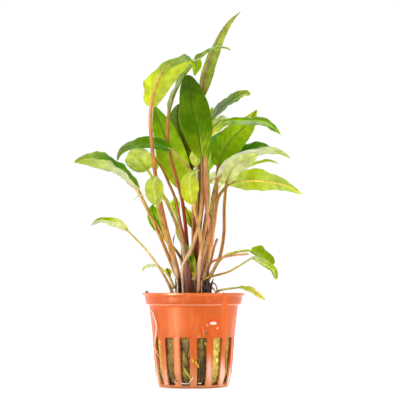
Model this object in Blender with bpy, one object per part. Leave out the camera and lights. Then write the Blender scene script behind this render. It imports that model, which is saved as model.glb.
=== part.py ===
"""A cryptocoryne in its slotted plastic pot.

The pot holds a plug of rock wool. The crown of the plant sits on the wool, and each leaf, a stalk and
a blade grown as one, rises from the crown. Everything is in metres, +Z up, with the origin in the
middle of the pot's flat base. The view from the front looks along +Y.
"""

import math

import bmesh
import bpy
from mathutils import Vector

MM = 0.001

# Pot, in mm
POT_HEIGHT = 49.4
BASE_RADIUS = 18.8
BASE_BEVEL = 0.7
BASE_THICKNESS = 1.2
WALL = 1.0
BAND_BOTTOM = 42.9
BAND_STEP = 0.5
BAND_LOW_RADIUS = 25.3
BAND_TOP_RADIUS = 26.0
LIP_BOTTOM = 48.1
LIP_BEVEL = 0.4
RIM_RADIUS = 27.5
SLOT_COUNT = 15
SLOT_TOP = 26.1
SLOT_BOTTOM = 1.1
SLOT_CORNER = 0.6
SLOT_CUT_FROM = 16.4
SLOT_CUT_TO = 24.5
RIB_WIDTH = 3.7
DRAIN_COUNT = 6
DRAIN_RADIUS = 1.6
DRAIN_PLACE = 10.5
TURN_STEPS = 45

# Heights and outer radii up the slotted wall, in mm: it swells out above the base
WALL_OUTLINE = [(0, BASE_RADIUS), (3.4, 19.6), (7.3, 20.5), (SLOT_TOP, 21.9), (BAND_BOTTOM, 23.8)]

# Rock wool and crown, in mm
WOOL_TOP = 44.8
WOOL_TOP_RADIUS = 22.0
WOOL_BEVEL = 1.4
WOOL_BOTTOM = 1.8
WOOL_LOW_RADIUS = 16.8
GAP = 0.4
CROWN_TOP = 55.2
CROWN_HALF_X = 9.1
CROWN_HALF_Y = 10.8
CROWN_CENTRE = (-0.4, 2.4)
CROWN_SIDES = 24
CROWN_SQUARENESS = 3.5
CROWN_FLUTE = 0.94
FOOT = CROWN_TOP + GAP

# Heights of the crown's rings and their size beside the foot of the leaves
CROWN_OUTLINE = [(WOOL_TOP + GAP, 1.0), (47.8, 1.04), (51, 1.02), (54.4, 1.0), (CROWN_TOP, 0.95)]

# The eye that the front view was measured from, in mm
EYE = (3.4, -750.0, 48.5)

# Leaves fan out in depth between these heights, by this share of their depth at the crown
FAN = 0.55
FAN_FROM = 59.0
FAN_TO = 121.0

# Leaves: sizes shared by all, in mm, and how finely the rings follow a leaf
RING_SIDES = 6
BLADE_THICKNESS = 0.55
EDGE_THICKNESS = 0.26
LEAST_HALF_WIDTH = 0.25
SMALL_LEAF = 22.0
STALK_STEPS = 6
BLADE_STEPS = 7
SMALL_STALK_STEPS = 4
SMALL_BLADE_STEPS = 5
RIB_PARTS = 60
BASE_RING = 0.07
TIP_RING = 0.985
RING_SPREAD = 1.15

# Each leaf is named by where it grows. Places are (across, up, back) in mm: across and up as read off
# the front view, back as the depth behind the middle of the pot. stalk runs from the crown to the
# blade and rib on to the tip. left and right are the blade's half widths at a fifth, two, three and
# four fifths of the rib, seen on its upper face with the tip up. face is the way the upper face looks,
# at even steps from the base to the tip.
LEAVES = {
    "leaf_tall_left": dict(
        stalk=[(-7.6, FOOT, -4.4), (-9.6, 64.9, -5.2), (-15.1, 85.4, -7.6), (-20.4, 111.7, -11),
               (-23.2, 138.3, -14), (-22.8, 150.7, -15)],
        rib=[(-22.8, 150.7, -15), (-22.0, 155, -15.6), (-20.6, 159.5, -16.4), (-19.1, 164, -17.2),
             (-17.2, 168.3, -18), (-14.6, 171.2, -18.8), (-11.2, 173.4, -19.6), (-7.2, 174.6, -20.4),
             (-3.2, 174.9, -21.2), (0, 174.4, -22), (1.4, 172.4, -22.6), (0.9, 169.2, -23),
             (0.4, 166.2, -23.4)],
        left=(6.6, 8.6, 7.2, 1.6), right=(6.9, 2.7, 0.9, 1.3),
        face=[(0.1, 1, 0.2), (0.1, 1, 0.2), (0.1, 1, 0.25), (0.15, 0.8, 0.5), (0.3, -0.7, 0.4)],
        fold=14, thick=(1.3, 0.9)),
    "leaf_tall_edge": dict(
        stalk=[(-3.0, FOOT, -1.0), (-3.3, 73.3, -0.8), (-6.2, 98.8, -0.7), (-10.3, 113.6, -0.8),
               (-13.7, 131.4, -1.2), (-13.8, 144.3, -3)],
        rib=[(-13.8, 144.3, -3), (-12.6, 150, -3.4), (-10.6, 156, -4), (-8.0, 161.4, -5), (-4.6, 167, -6),
             (-1.3, 171, -7), (2.0, 174.4, -7.8), (6.0, 178.1, -8.2), (10.5, 180.7, -8.4),
             (14.8, 181.6, -8), (18.4, 181.1, -7.4), (20.2, 179.9, -7)],
        left=(3.6, 4.6, 4.2, 2.2), right=(4.4, 5.6, 4.8, 2.4),
        face=[(-0.85, -0.3, 0.4), (-0.35, -0.35, 0.9)], fold=16, thick=(1.0, 0.8)),
    "leaf_top_spear": dict(
        stalk=[(1.3, FOOT, 1.8), (1.8, 77.6, 2.6), (3.1, 106.6, 4), (2.9, 122.3, 4.5), (4.4, 147, 4.1),
               (4.8, 155, 4)],
        rib=[(4.8, 155, 4), (5.4, 162, 3.6), (6.9, 169, 3.2), (8.9, 176, 3), (12.5, 185.2, 2.6),
             (15.4, 190.7, 2.4), (19.6, 196.4, 2.2), (25.5, 201.3, 2)],
        left=(3.9, 4.0, 3.4, 2.1), right=(3.2, 2.4, 1.1, 0.6),
        face=[(0.3, 0.95, 0)], fold=22, thick=(1.2, 1.0)),
    "leaf_dark_front": dict(
        stalk=[(-5.8, FOOT, -6.6), (-5.6, 63.9, -7.6), (-0.7, 74.4, -9), (3.3, 88.9, -11.2),
               (4.6, 106.3, -12.6), (4.5, 121.3, -13.2)],
        rib=[(4.5, 121.3, -13.2), (2.2, 136.5, -13), (0, 144.7, -12), (-2.2, 156.3, -10), (-3.2, 166.7, -6.5)],
        left=(6.6, 8.3, 6.6, 4.8), right=(6.2, 8.4, 8.6, 6.2),
        face=[(0, -1, 0.15), (0.1, -0.9, 0.45)], fold=13, thick=(1.0, 0.8)),
    "leaf_broad_left": dict(
        stalk=[(-2.4, FOOT, 4.6), (-3.6, 77.6, 7.4), (-5.2, 93.7, 9), (-7.3, 105.5, 10)],
        rib=[(-7.3, 105.5, 10), (-10.6, 117.9, 12), (-15.8, 134.5, 15), (-18.7, 142.6, 17),
             (-21.4, 150.7, 18)],
        left=(6.1, 8.0, 6.4, 4.2), right=(7.9, 8.3, 7.1, 4.8),
        face=[(0, -1, 0.25)], fold=12, thick=(0.95, 0.8)),
    "leaf_dark_left": dict(
        stalk=[(-0.6, FOOT, -3.4), (-0.3, 77.6, -3.5), (-0.4, 99.1, -3.6), (-1.5, 113.6, -4.4),
               (-4.3, 118.1, -5), (-12, 126.3, -6)],
        rib=[(-12, 126.3, -6), (-19.7, 129.3, -6), (-27.2, 129.8, -6.4), (-34.2, 127.7, -6.8),
             (-39.1, 124.4, -7), (-41.2, 119.9, -7.2)],
        left=(4.6, 4.4, 2.5, 1.3), right=(3.9, 3.7, 3.2, 2.2),
        face=[(0.1, -0.8, 0.6)], fold=10, thick=(0.9, 0.75)),
    "leaf_under_left": dict(
        stalk=[(-3.0, FOOT, 1.8), (-4.4, 75.3, 1.9), (-7.0, 86.2, 1.7), (-9.5, 98.6, 1.6),
               (-13.3, 108.1, 1.7), (-18, 117.8, 1.9), (-25, 124.7, 2.6)],
        rib=[(-25, 124.7, 2.6), (-29, 126.2, 3.2), (-33.2, 126.6, 3.8), (-37.6, 125.6, 4.6)],
        left=(2.4, 2.8, 2.4, 1.5), right=(2.4, 2.8, 2.4, 1.5),
        face=[(0, -0.4, 0.9)], fold=8, thick=(0.85, 0.7)),
    "leaf_pale_left": dict(
        stalk=[(-4.4, FOOT, -3.6), (-5.5, 71.8, -3.5), (-9.6, 86.8, -4.3), (-16.4, 101.5, -5.6),
               (-22.3, 111.3, -7), (-24.8, 115.2, -7.6)],
        rib=[(-24.8, 115.2, -7.6), (-28.3, 119.6, -9), (-34, 126, -12)],
        left=(5.4, 6.4, 5.6, 3.2), right=(6.4, 7.4, 7.2, 5.6),
        face=[(0, 0.9, 0.45)], fold=14, thick=(0.9, 0.75)),
    "leaf_light_front": dict(
        stalk=[(-8.2, FOOT, -7.0), (-9.8, 61.7, -8.4), (-13.3, 75.2, -11.4), (-16.8, 85.4, -14),
               (-19.7, 96.6, -16.8)],
        rib=[(-19.7, 96.6, -16.8), (-20.9, 102.8, -18.5), (-21.2, 108.3, -21), (-20.2, 111.9, -24)],
        left=(4.0, 4.6, 4.4, 3.2), right=(4.4, 5.1, 4.4, 2.7),
        face=[(0.05, 0.9, 0.3), (0, 0.5, 0.85)], fold=12, thick=(0.95, 0.75)),
    "leaf_curled_front": dict(
        stalk=[(0.4, FOOT, -5.6), (3.0, 66.6, -5.6), (3.9, 75.2, -6.2), (2.6, 84.9, -7.6),
               (-0.3, 96.6, -11.6)],
        rib=[(-0.3, 96.6, -11.6), (-1.5, 102.7, -14.6), (-2.3, 109, -18), (-1.2, 113.3, -20),
             (3.1, 115.2, -20.4)],
        left=(3.2, 4.7, 4.6, 2.4), right=(5.0, 5.0, 4.4, 2.4),
        face=[(0.1, 0.95, 0.2), (-0.3, 0.4, 0.9)], fold=14, thick=(1.0, 0.8)),
    "leaf_small_pale": dict(
        stalk=[(1.4, FOOT, -1.6), (1.9, 77.6, -2.2), (1.5, 99.1, -3.6), (1.0, 109.9, -4.8),
               (1.0, 117.7, -6)],
        rib=[(1.0, 117.7, -6), (1.4, 121.7, -7), (0.2, 127.1, -9.4)],
        left=(2.4, 2.8, 2.5, 1.5), right=(3.1, 3.7, 3.0, 1.6),
        face=[(0, 0.9, 0.4)], fold=14, thick=(0.8, 0.6)),
    "leaf_dark_back": dict(
        stalk=[(-1.2, FOOT, 12.4), (-0.2, 77.6, 16), (-0.2, 99.1, 17.8), (-0.8, 115.8, 19)],
        rib=[(-0.8, 115.8, 19), (-5, 129.1, 22), (-8.5, 139.3, 26), (-8.6, 147.7, 29), (-7.4, 151.3, 31)],
        left=(5.6, 6.8, 6.4, 4.2), right=(4.4, 5.6, 5.4, 3.8),
        face=[(0, -1, 0.4)], fold=12, thick=(0.9, 0.75)),
    "leaf_arching_left": dict(
        stalk=[(-8.2, FOOT, -1.6), (-10.4, 61.3, -2), (-15.1, 72.8, -3.3), (-20.9, 86.1, -4.9),
               (-27.1, 99.1, -6.6), (-29.6, 104.2, -7)],
        rib=[(-29.6, 104.2, -7), (-34.3, 107.8, -7.6), (-41.9, 113.4, -8.6), (-50.8, 116, -9.6),
             (-59.8, 118.5, -10.4), (-64.7, 119.1, -11)],
        left=(4.7, 7.1, 10.6, 8.2), right=(5.5, 7.0, 10.3, 8.2),
        face=[(0, -0.33, 0.95)], fold=43, thick=(0.95, 0.8)),
    "leaf_hidden_left": dict(
        stalk=[(-5.2, FOOT, 0.2), (-6.5, 66.3, 0.4), (-9.2, 71.8, 0.5), (-15.1, 77.7, 0.4),
               (-18.8, 83.7, 0.3), (-23.4, 91, 0.3), (-29.3, 102.3, 1), (-33.6, 108.8, 3)],
        rib=[(-33.6, 108.8, 3), (-38, 113.2, 6), (-44, 116.9, 9), (-51, 118.1, 12)],
        left=(3.6, 4.6, 4.2, 2.6), right=(3.6, 4.6, 4.2, 2.6),
        face=[(0, -0.2, 1)], fold=8, thick=(0.85, 0.7)),
    "leaf_far_left": dict(
        stalk=[(-11.0, 48.7, -2.8), (-13.8, 55.1, -4), (-19.4, 64.4, -6), (-26.8, 73.9, -9),
               (-35.4, 82.7, -12)],
        rib=[(-35.4, 82.7, -12), (-40.4, 86.4, -13.4), (-46, 87.8, -15), (-50.7, 88.1, -16),
             (-55.2, 85.0, -17)],
        left=(2.2, 2.4, 1.9, 1.1), right=(3.0, 3.4, 1.8, 1.1),
        face=[(0.15, 0.75, 0.6)], fold=10, thick=(0.75, 0.45)),
    "leaf_tiny_left": dict(
        stalk=[(-10.6, 52.2, 2.6), (-12.6, 57.5, 3), (-14.9, 60.4, 3), (-18.2, 63.2, 3)],
        rib=[(-18.2, 63.2, 3), (-23.2, 63.8, 4), (-26.2, 62.8, 4.6), (-27.4, 60.9, 5)],
        left=(1.4, 1.7, 1.5, 1.0), right=(1.4, 1.7, 1.5, 1.0),
        face=[(0, -0.6, 0.8)], fold=10, thick=(0.7, 0.55)),
    "leaf_bud_left": dict(
        stalk=[(-10.6, 51.7, 6.2), (-12.1, 56.1, 6.8), (-12.9, 59, 7)],
        rib=[(-12.9, 59, 7), (-13.5, 60.7, 7.2), (-14.6, 62.7, 7.4)],
        left=(1.3, 1.6, 1.3, 0.8), right=(1.3, 1.6, 1.3, 0.8),
        face=[(0.2, -1, 0.2)], fold=10, thick=(0.7, 0.5)),
    "leaf_low_right": dict(
        stalk=[(6.8, FOOT, 1.8), (8.8, 59.1, 1.8), (13.7, 66.2, 1.4), (18.2, 69.9, 0),
               (26.5, 71.8, -2), (31.4, 72, -3)],
        rib=[(31.4, 72, -3), (35, 71, -4), (38.7, 68.2, -5), (43, 64.8, -6)],
        left=(3.1, 3.2, 3.0, 2.2), right=(3.4, 3.8, 3.2, 1.8),
        face=[(0.2, -0.8, 0.6)], fold=10, thick=(0.8, 0.6)),
    "leaf_low_pale": dict(
        stalk=[(4.7, FOOT, -6.4), (8.8, 57.9, -8.4), (17.5, 60.3, -10), (22.6, 62.8, -11.4),
               (31.1, 68.1, -13.6)],
        rib=[(31.1, 68.1, -13.6), (34.9, 66.4, -14.6), (39.4, 63.8, -15.2), (42.7, 61.2, -15.6),
             (44.2, 56.4, -16)],
        left=(2.2, 2.6, 3.0, 2.5), right=(2.2, 2.6, 2.6, 1.8),
        face=[(0.5, 0.6, 0.6)], fold=16, thick=(0.7, 0.42)),
    "leaf_rim_right": dict(
        stalk=[(10.9, 46.7, -3.4), (12.2, 49.7, -4.6), (15.1, 51.1, -6.4), (19, 51.7, -8.4),
               (24.2, 52.3, -10.6)],
        rib=[(24.2, 52.3, -10.6), (28, 51.6, -12), (32.8, 49.2, -13.6), (38.4, 45.3, -15)],
        left=(2.2, 2.6, 2.2, 1.4), right=(1.8, 2.0, 1.8, 1.2),
        face=[(0.3, -0.6, 0.75)], fold=10, thick=(0.6, 0.42)),
    "leaf_long_right": dict(
        stalk=[(5.8, FOOT, -0.6), (7.7, 65.9, -0.8), (9.5, 75.2, -1.5), (10.2, 81.9, -2.2),
               (11.2, 88.9, -3.5), (12.4, 96.9, -5.4), (14.2, 102.3, -7), (18.9, 107.8, -9)],
        rib=[(18.9, 107.8, -9), (24, 109.2, -11), (35, 109.4, -15), (48.3, 107.2, -18),
             (58.6, 102, -20)],
        left=(5.8, 5.8, 4.5, 2.5), right=(5.2, 6.2, 4.3, 1.9),
        face=[(-0.1, 0.9, 0.4)], fold=12, thick=(1.0, 0.8)),
    "leaf_pale_right": dict(
        stalk=[(2.9, FOOT, -4.0), (4.7, 68.3, -3.6), (7.1, 77.9, -5.2), (9.5, 85.4, -7),
               (10.3, 95.9, -9.6), (11.9, 106.8, -12.4), (13.1, 110.5, -13.2)],
        rib=[(13.1, 110.5, -13.2), (19, 117, -15.4), (26, 122.2, -18), (37.3, 125.6, -21.4),
             (46, 125, -23.4), (52.3, 121.4, -24.4)],
        left=(5.8, 6.0, 3.0, 2.2), right=(3.7, 2.6, 1.7, 1.7),
        face=[(0.1, 0.75, 0.65)], fold=14, thick=(1.0, 0.8)),
    "leaf_yellow_right": dict(
        stalk=[(7.6, FOOT, -5.3), (10.3, 60.9, -5.6), (14.2, 69.4, -6.6), (16.2, 81.3, -10),
               (16.4, 95.3, -14), (17.5, 108.2, -18)],
        rib=[(17.5, 108.2, -18), (19.5, 113.5, -20), (23, 118.2, -22.4), (34.6, 123.9, -28)],
        left=(4.4, 5.4, 5.0, 3.4), right=(4.0, 4.6, 4.0, 2.4),
        face=[(0, 0.9, 0.35)], fold=14, thick=(0.95, 0.75)),
    "leaf_big_right": dict(
        stalk=[(4.4, FOOT, 2.4), (8.2, 68.3, 2.4), (10.5, 82.9, 2.5), (12.2, 96.2, 3),
               (12.4, 107.4, 3.6), (13.1, 117.2, 4.6)],
        rib=[(13.1, 117.2, 4.6), (15.8, 125.2, 7), (21.6, 133.3, 10), (28.3, 139.6, 13), (34.1, 147.9, 15)],
        left=(6.4, 7.0, 5.4, 3.4), right=(6.2, 8.0, 7.0, 4.2),
        face=[(0.1, -1, 0.3)], fold=12, thick=(1.0, 0.85)),
    "leaf_bright_back": dict(
        stalk=[(0.8, FOOT, 4.8), (3.3, 69.7, 5.2), (6.5, 86.2, 6.2), (8.1, 99.9, 7.2), (8, 107.3, 8.4),
               (7.8, 115.4, 10.4)],
        rib=[(7.8, 115.4, 10.4), (8.8, 121.7, 12.6), (10.7, 128.2, 15), (13.6, 133.1, 18), (17.6, 137.1, 21)],
        left=(2.4, 3.4, 3.4, 2.0), right=(3.4, 4.4, 4.0, 2.4),
        face=[(0.1, -1, 0.4)], fold=12, thick=(0.95, 0.8)),
    "leaf_bright_arch": dict(
        stalk=[(3.4, FOOT, -0.2), (7.1, 72.3, 0.2), (8.5, 84.6, 0.2), (6.8, 94.3, 0), (6.5, 107.3, -0.4),
               (6.1, 120.6, -1), (7.4, 127.7, -1.6), (9.2, 134.2, -2.2)],
        rib=[(9.2, 134.2, -2.2), (12.3, 137.9, -2.6), (18, 141.7, -3.2), (28.3, 142, -4.8),
             (39, 140.9, -6.6), (47.3, 134.1, -8)],
        left=(1.3, 1.8, 2.8, 2.3), right=(4.6, 5.4, 6.2, 4.8),
        face=[(-0.2, -0.75, 0.65), (0.1, -0.55, 0.8)], fold=10, thick=(0.95, 0.8)),
    "leaf_curled_tip": dict(
        stalk=[(3.3, FOOT, 7.0), (2.9, 77.3, 7.8), (5, 99.1, 5.8), (5.6, 120.6, 4.4), (6.4, 132.3, 4),
               (8.8, 141, 3.4)],
        rib=[(8.8, 141, 3.4), (13.1, 146.6, 3.4), (17.4, 150.9, 3.6), (22.3, 154.2, 3.8),
             (27, 156.7, 4), (30.6, 156.1, 4)],
        left=(3.2, 3.0, 2.8, 1.8), right=(1.9, 2.6, 3.2, 2.8),
        face=[(-0.2, -0.7, 0.7)], fold=12, thick=(0.9, 0.75)),
    "leaf_behind_arch": dict(
        stalk=[(1.8, FOOT, 12.2), (3.2, 77.6, 14.6), (5, 109.9, 17.8), (6.6, 128.7, 20), (8.8, 135.2, 21)],
        rib=[(8.8, 135.2, 21), (12.5, 140.1, 23), (17, 142.3, 25.4), (21.5, 140.9, 28), (23.8, 139, 30)],
        left=(3.0, 3.8, 3.8, 2.6), right=(3.0, 3.8, 3.8, 2.6),
        face=[(0, -0.6, 0.8)], fold=10, thick=(0.85, 0.7)),
    "leaf_dark_right": dict(
        stalk=[(4.9, FOOT, 9.2), (7, 77.6, 11.6), (10, 99.1, 14), (12.5, 110.4, 15.6), (14.7, 115.9, 16)],
        rib=[(14.7, 115.9, 16), (20.6, 121.8, 17), (28.7, 126.0, 17.6), (35.9, 128.2, 18), (42.2, 127, 18)],
        left=(3.4, 4.2, 4.0, 2.8), right=(3.8, 4.6, 4.4, 3.0),
        face=[(0, -0.7, 0.7)], fold=10, thick=(0.9, 0.75)),
    "leaf_slender_right": dict(
        stalk=[(5.6, FOOT, 6.4), (6.6, 77.6, 8), (9.3, 96.4, 10), (12, 102.8, 8.6), (15.4, 107.7, 6.4),
               (22.7, 114.7, 5.4)],
        rib=[(22.7, 114.7, 5.4), (27.6, 116.6, 5), (32.9, 118.5, 4.6), (39.9, 120.1, 4), (45.7, 118.8, 3)],
        left=(1.9, 2.2, 1.9, 1.3), right=(1.9, 2.1, 1.8, 1.2),
        face=[(0, -0.5, 0.85)], fold=10, thick=(0.8, 0.65)),
    "leaf_pale_middle": dict(
        stalk=[(2.6, FOOT, 9.6), (4.7, 78.3, 10.8), (7.2, 96.3, 12.2), (8.3, 109, 13)],
        rib=[(8.3, 109, 13), (11.8, 110.7, 12.4), (15, 110.5, 11.4), (17.2, 108.7, 10.4)],
        left=(2.6, 3.2, 2.8, 1.8), right=(3.0, 3.6, 3.2, 2.0),
        face=[(0, 0.9, 0.4)], fold=10, thick=(0.8, 0.65)),
    "leaf_green_lower": dict(
        stalk=[(-7.2, FOOT, 2.6), (-9.4, 65.9, 3.6), (-13.2, 75, 4.8), (-16.4, 81.9, 5.6)],
        rib=[(-16.4, 81.9, 5.6), (-19.1, 87.3, 6.4), (-21.6, 92.7, 7.4), (-21.9, 96.9, 8.4)],
        left=(4.0, 4.6, 4.2, 2.6), right=(3.0, 3.4, 3.2, 2.2),
        face=[(0, -1, 0.3)], fold=12, thick=(0.85, 0.7)),
    "leaf_strip_lower": dict(
        stalk=[(-5.4, FOOT, 6.4), (-6, 68.3, 8.4), (-6.3, 76.5, 9.4)],
        rib=[(-6.3, 76.5, 9.4), (-7.6, 82, 10), (-9.3, 87.1, 11)],
        left=(1.6, 2.0, 1.8, 1.1), right=(1.6, 2.0, 1.8, 1.1),
        face=[(0, -1, 0.2)], fold=14, thick=(0.75, 0.6)),
    "leaf_small_back": dict(
        stalk=[(-3.8, FOOT, 9.4), (-5.5, 78.5, 12.4), (-8.6, 91.5, 14)],
        rib=[(-8.6, 91.5, 14), (-9.8, 96, 15), (-9.8, 101.5, 16.6)],
        left=(2.0, 2.4, 2.0, 1.2), right=(2.0, 2.6, 2.2, 1.3),
        face=[(0, -1, 0.3)], fold=12, thick=(0.8, 0.65)),
    "leaf_narrow_back": dict(
        stalk=[(-0.6, FOOT, 7.4), (-0.3, 76.5, 9.6), (-0.6, 84.5, 10.6)],
        rib=[(-0.6, 84.5, 10.6), (-2.2, 89.5, 11.8), (-4.6, 95.6, 13.2)],
        left=(2.0, 2.4, 2.0, 1.2), right=(2.0, 2.4, 2.0, 1.2),
        face=[(0, -1, 0.3)], fold=14, thick=(0.8, 0.65)),
    "leaf_spear_centre": dict(
        stalk=[(-0.6, 56.1, -8.0), (-0.1, 58.9, -7.6)],
        rib=[(-0.1, 58.9, -7.6), (-1.4, 65.9, -6.4), (-3, 72.3, -5.6), (-4.5, 75.8, -5.2)],
        left=(1.2, 1.4, 1.2, 0.8), right=(1.8, 2.4, 2.0, 1.2),
        face=[(0.2, -1, 0.1)], fold=24, thick=(0.9, 0.8)),
    "leaf_tall_back": dict(
        stalk=[(-1.4, FOOT, 10.0), (0.6, 77.5, 12.8), (1.5, 90.5, 14), (2.6, 109.9, 15), (3.5, 124.5, 16)],
        rib=[(3.5, 124.5, 16), (5.5, 135.5, 18), (8, 143.5, 20), (10.2, 149.3, 22)],
        left=(3.4, 4.2, 3.8, 2.4), right=(3.4, 4.2, 3.8, 2.4),
        face=[(0, -1, 0.35)], fold=12, thick=(0.85, 0.7)),
    "leaf_yellow_left": dict(
        stalk=[(-1.1, FOOT, 2.6), (-2.4, 66.5, 4.2), (-4.8, 77.1, 4.6), (-8.4, 88.4, 4.6),
               (-11.6, 95.3, 4.8), (-15.8, 101.2, 5.2), (-18.8, 106.5, 5.8), (-20.4, 112, 6.4),
               (-20.6, 115.4, 6.8)],
        rib=[(-20.6, 115.4, 6.8), (-21, 118, 7.3), (-22.4, 121, 8), (-24.4, 124.6, 8.8)],
        left=(2.2, 2.8, 2.6, 1.7), right=(2.2, 2.8, 2.6, 1.7),
        face=[(0, -1, 0.3)], fold=12, thick=(0.8, 0.65)),
}

# Stalks that end cut off, with no blade, and the white root that lies on the pot's wall
BARE_STALKS = {
    "stalk_cut_right": dict(
        route=[(7.6, FOOT, -2.6), (7.8, 62.3, -3.1), (9.6, 65.7, -2.8), (13, 67.3, -2.4), (19, 69.2, -2.8),
               (29.5, 70.2, -4)],
        thick=(0.75, 0.6)),
    "stalk_cut_middle": dict(
        route=[(6.2, FOOT, 4.4), (9.3, 66.8, 5.4), (10.4, 71.3, 5.6), (11.2, 75.6, 5.6), (12.4, 80.6, 5.8)],
        thick=(0.8, 0.7)),
}
ROOT_RADIUS = 0.45
ROOT_ROUTE = [(-21.4, 39.4), (-20.6, 36.8), (-19.4, 32), (-20.0, 26), (-20.4, 21.6), (-19.2, 18),
              (-16.6, 14)]

ROOT_STEPS = 12

# Looks: edges sharper than this angle, in degrees, stay hard
SHARP_ANGLE = 35
GREEN = (0.13, 0.30, 0.02)
PALE_GREEN = (0.50, 0.60, 0.18)
STALK_BROWN = (0.38, 0.13, 0.04)
LIGHT_LEAVES = {"leaf_pale_left", "leaf_light_front", "leaf_curled_front", "leaf_small_pale",
                "leaf_pale_right", "leaf_long_right", "leaf_yellow_right", "leaf_low_pale",
                "leaf_far_left", "leaf_pale_middle", "leaf_yellow_left", "leaf_spear_centre"}


def seen(place):
    """The point that the front view shows at (across, up), taken back along the line of sight."""
    across, up, depth = place
    back = depth * (1 + FAN * min(1.0, max(0.0, (up - FAN_FROM) / (FAN_TO - FAN_FROM))))
    spread = 1 - back / EYE[1]
    x = EYE[0] + (across - EYE[0]) * spread
    z = EYE[2] + (up - EYE[2]) * spread
    return Vector((x, back, z)) * MM


def smooth_route(points, steps):
    """Points evenly spaced along a smooth curve through the given ones."""
    ends = [points[0] * 2 - points[1]] + points + [points[-1] * 2 - points[-2]]
    fine = []
    parts = 16
    for a, b, c, d in zip(ends, ends[1:], ends[2:], ends[3:]):
        for k in range(parts):
            t = k / parts
            fine.append(0.5 * (2 * b + (c - a) * t + (2 * a - 5 * b + 4 * c - d) * t * t
                               + (3 * b - a - 3 * c + d) * t ** 3))
    fine.append(points[-1])
    lengths = [0.0]
    for p, q in zip(fine, fine[1:]):
        lengths.append(lengths[-1] + (q - p).length)
    route = []
    k = 0
    for step in range(steps + 1):
        want = lengths[-1] * step / steps
        while k < len(fine) - 2 and lengths[k + 1] < want:
            k += 1
        share = (want - lengths[k]) / max(lengths[k + 1] - lengths[k], 1e-9)
        route.append(fine[k].lerp(fine[k + 1], min(1.0, max(0.0, share))))
    return route


def direction(route, i):
    return (route[min(i + 1, len(route) - 1)] - route[max(i - 1, 0)]).normalized()


def blade_width(widths, t):
    """Half width of a blade at the share t of its rib: round at the base, drawn out at the tip."""
    if t <= 0 or t >= 1:
        return 0.0

    def swell(u):
        return u ** 0.6 * (1 - u)

    stops = [0.2, 0.4, 0.6, 0.8]
    ratios = [w / swell(u) for w, u in zip(widths, stops)]
    place = min(max((t - 0.2) / 0.2, 0.0), 2.999)
    k = int(place)
    share = place - k
    share = share * share * (3 - 2 * share)
    return (ratios[k] * (1 - share) + ratios[k + 1] * share) * swell(t)


def turned_face(faces, t):
    """The way a blade's upper face looks at the share t of its rib."""
    place = min(t, 0.9999) * (len(faces) - 1)
    k = int(place)
    return faces[k].lerp(faces[min(k + 1, len(faces) - 1)], place - k)


def material(name, colour, roughness):
    made = bpy.data.materials.get(name)
    if made is None:
        made = bpy.data.materials.new(name)
        made.use_nodes = True
        shader = made.node_tree.nodes["Principled BSDF"]
        shader.inputs["Base Color"].default_value = (*colour, 1)
        shader.inputs["Roughness"].default_value = roughness
        shader.inputs["Metallic"].default_value = 0.0
    return made


def finished(name, bm, colour, roughness):
    """The mesh as an object in the scene, shaded smooth over its round stretches."""
    bmesh.ops.recalc_face_normals(bm, faces=bm.faces)
    mesh = bpy.data.meshes.new(name)
    bm.to_mesh(mesh)
    bm.free()
    mesh.shade_smooth()
    mesh.set_sharp_from_angle(angle=math.radians(SHARP_ANGLE))
    mesh.materials.append(material(name + "_finish", colour, roughness))
    made = bpy.data.objects.new(name, mesh)
    bpy.context.scene.collection.objects.link(made)
    return made


def loft(rings):
    """A closed body through rings of equal size: a grid wrapped round them, with its ends filled."""
    bm = bmesh.new()
    sides = len(rings[0])
    grid = bmesh.ops.create_grid(bm, x_segments=sides, y_segments=len(rings) - 1, size=1)["verts"]
    for k, vert in enumerate(grid):
        row, column = divmod(k, sides + 1)
        vert.co = rings[row][column % sides]
    bmesh.ops.remove_doubles(bm, verts=bm.verts, dist=1e-7)
    bmesh.ops.holes_fill(bm, edges=bm.edges, sides=sides)
    return bm


def round_ring(centre, forward, side, radius):
    up = side.cross(forward).normalized()
    ring = []
    for k in range(RING_SIDES):
        turn = math.tau * (k - 0.5) / RING_SIDES
        ring.append(centre + (side * math.cos(turn) + up * math.sin(turn)) * radius)
    return ring


def blade_ring(centre, side, up, left, right, fold, radius):
    """A flat ring across a folded blade: edge, rib and edge over the top, then back underneath."""
    def at(across, height):
        return centre + side * (across * math.cos(fold)) + up * (abs(across) * math.sin(fold) + height)

    half = BLADE_THICKNESS * MM / 2
    edge = EDGE_THICKNESS * MM / 2
    return [at(right, -edge), at(right, edge), at(0, half), at(-left, edge), at(-left, -edge),
            at(0, -max(half, radius))]


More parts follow.
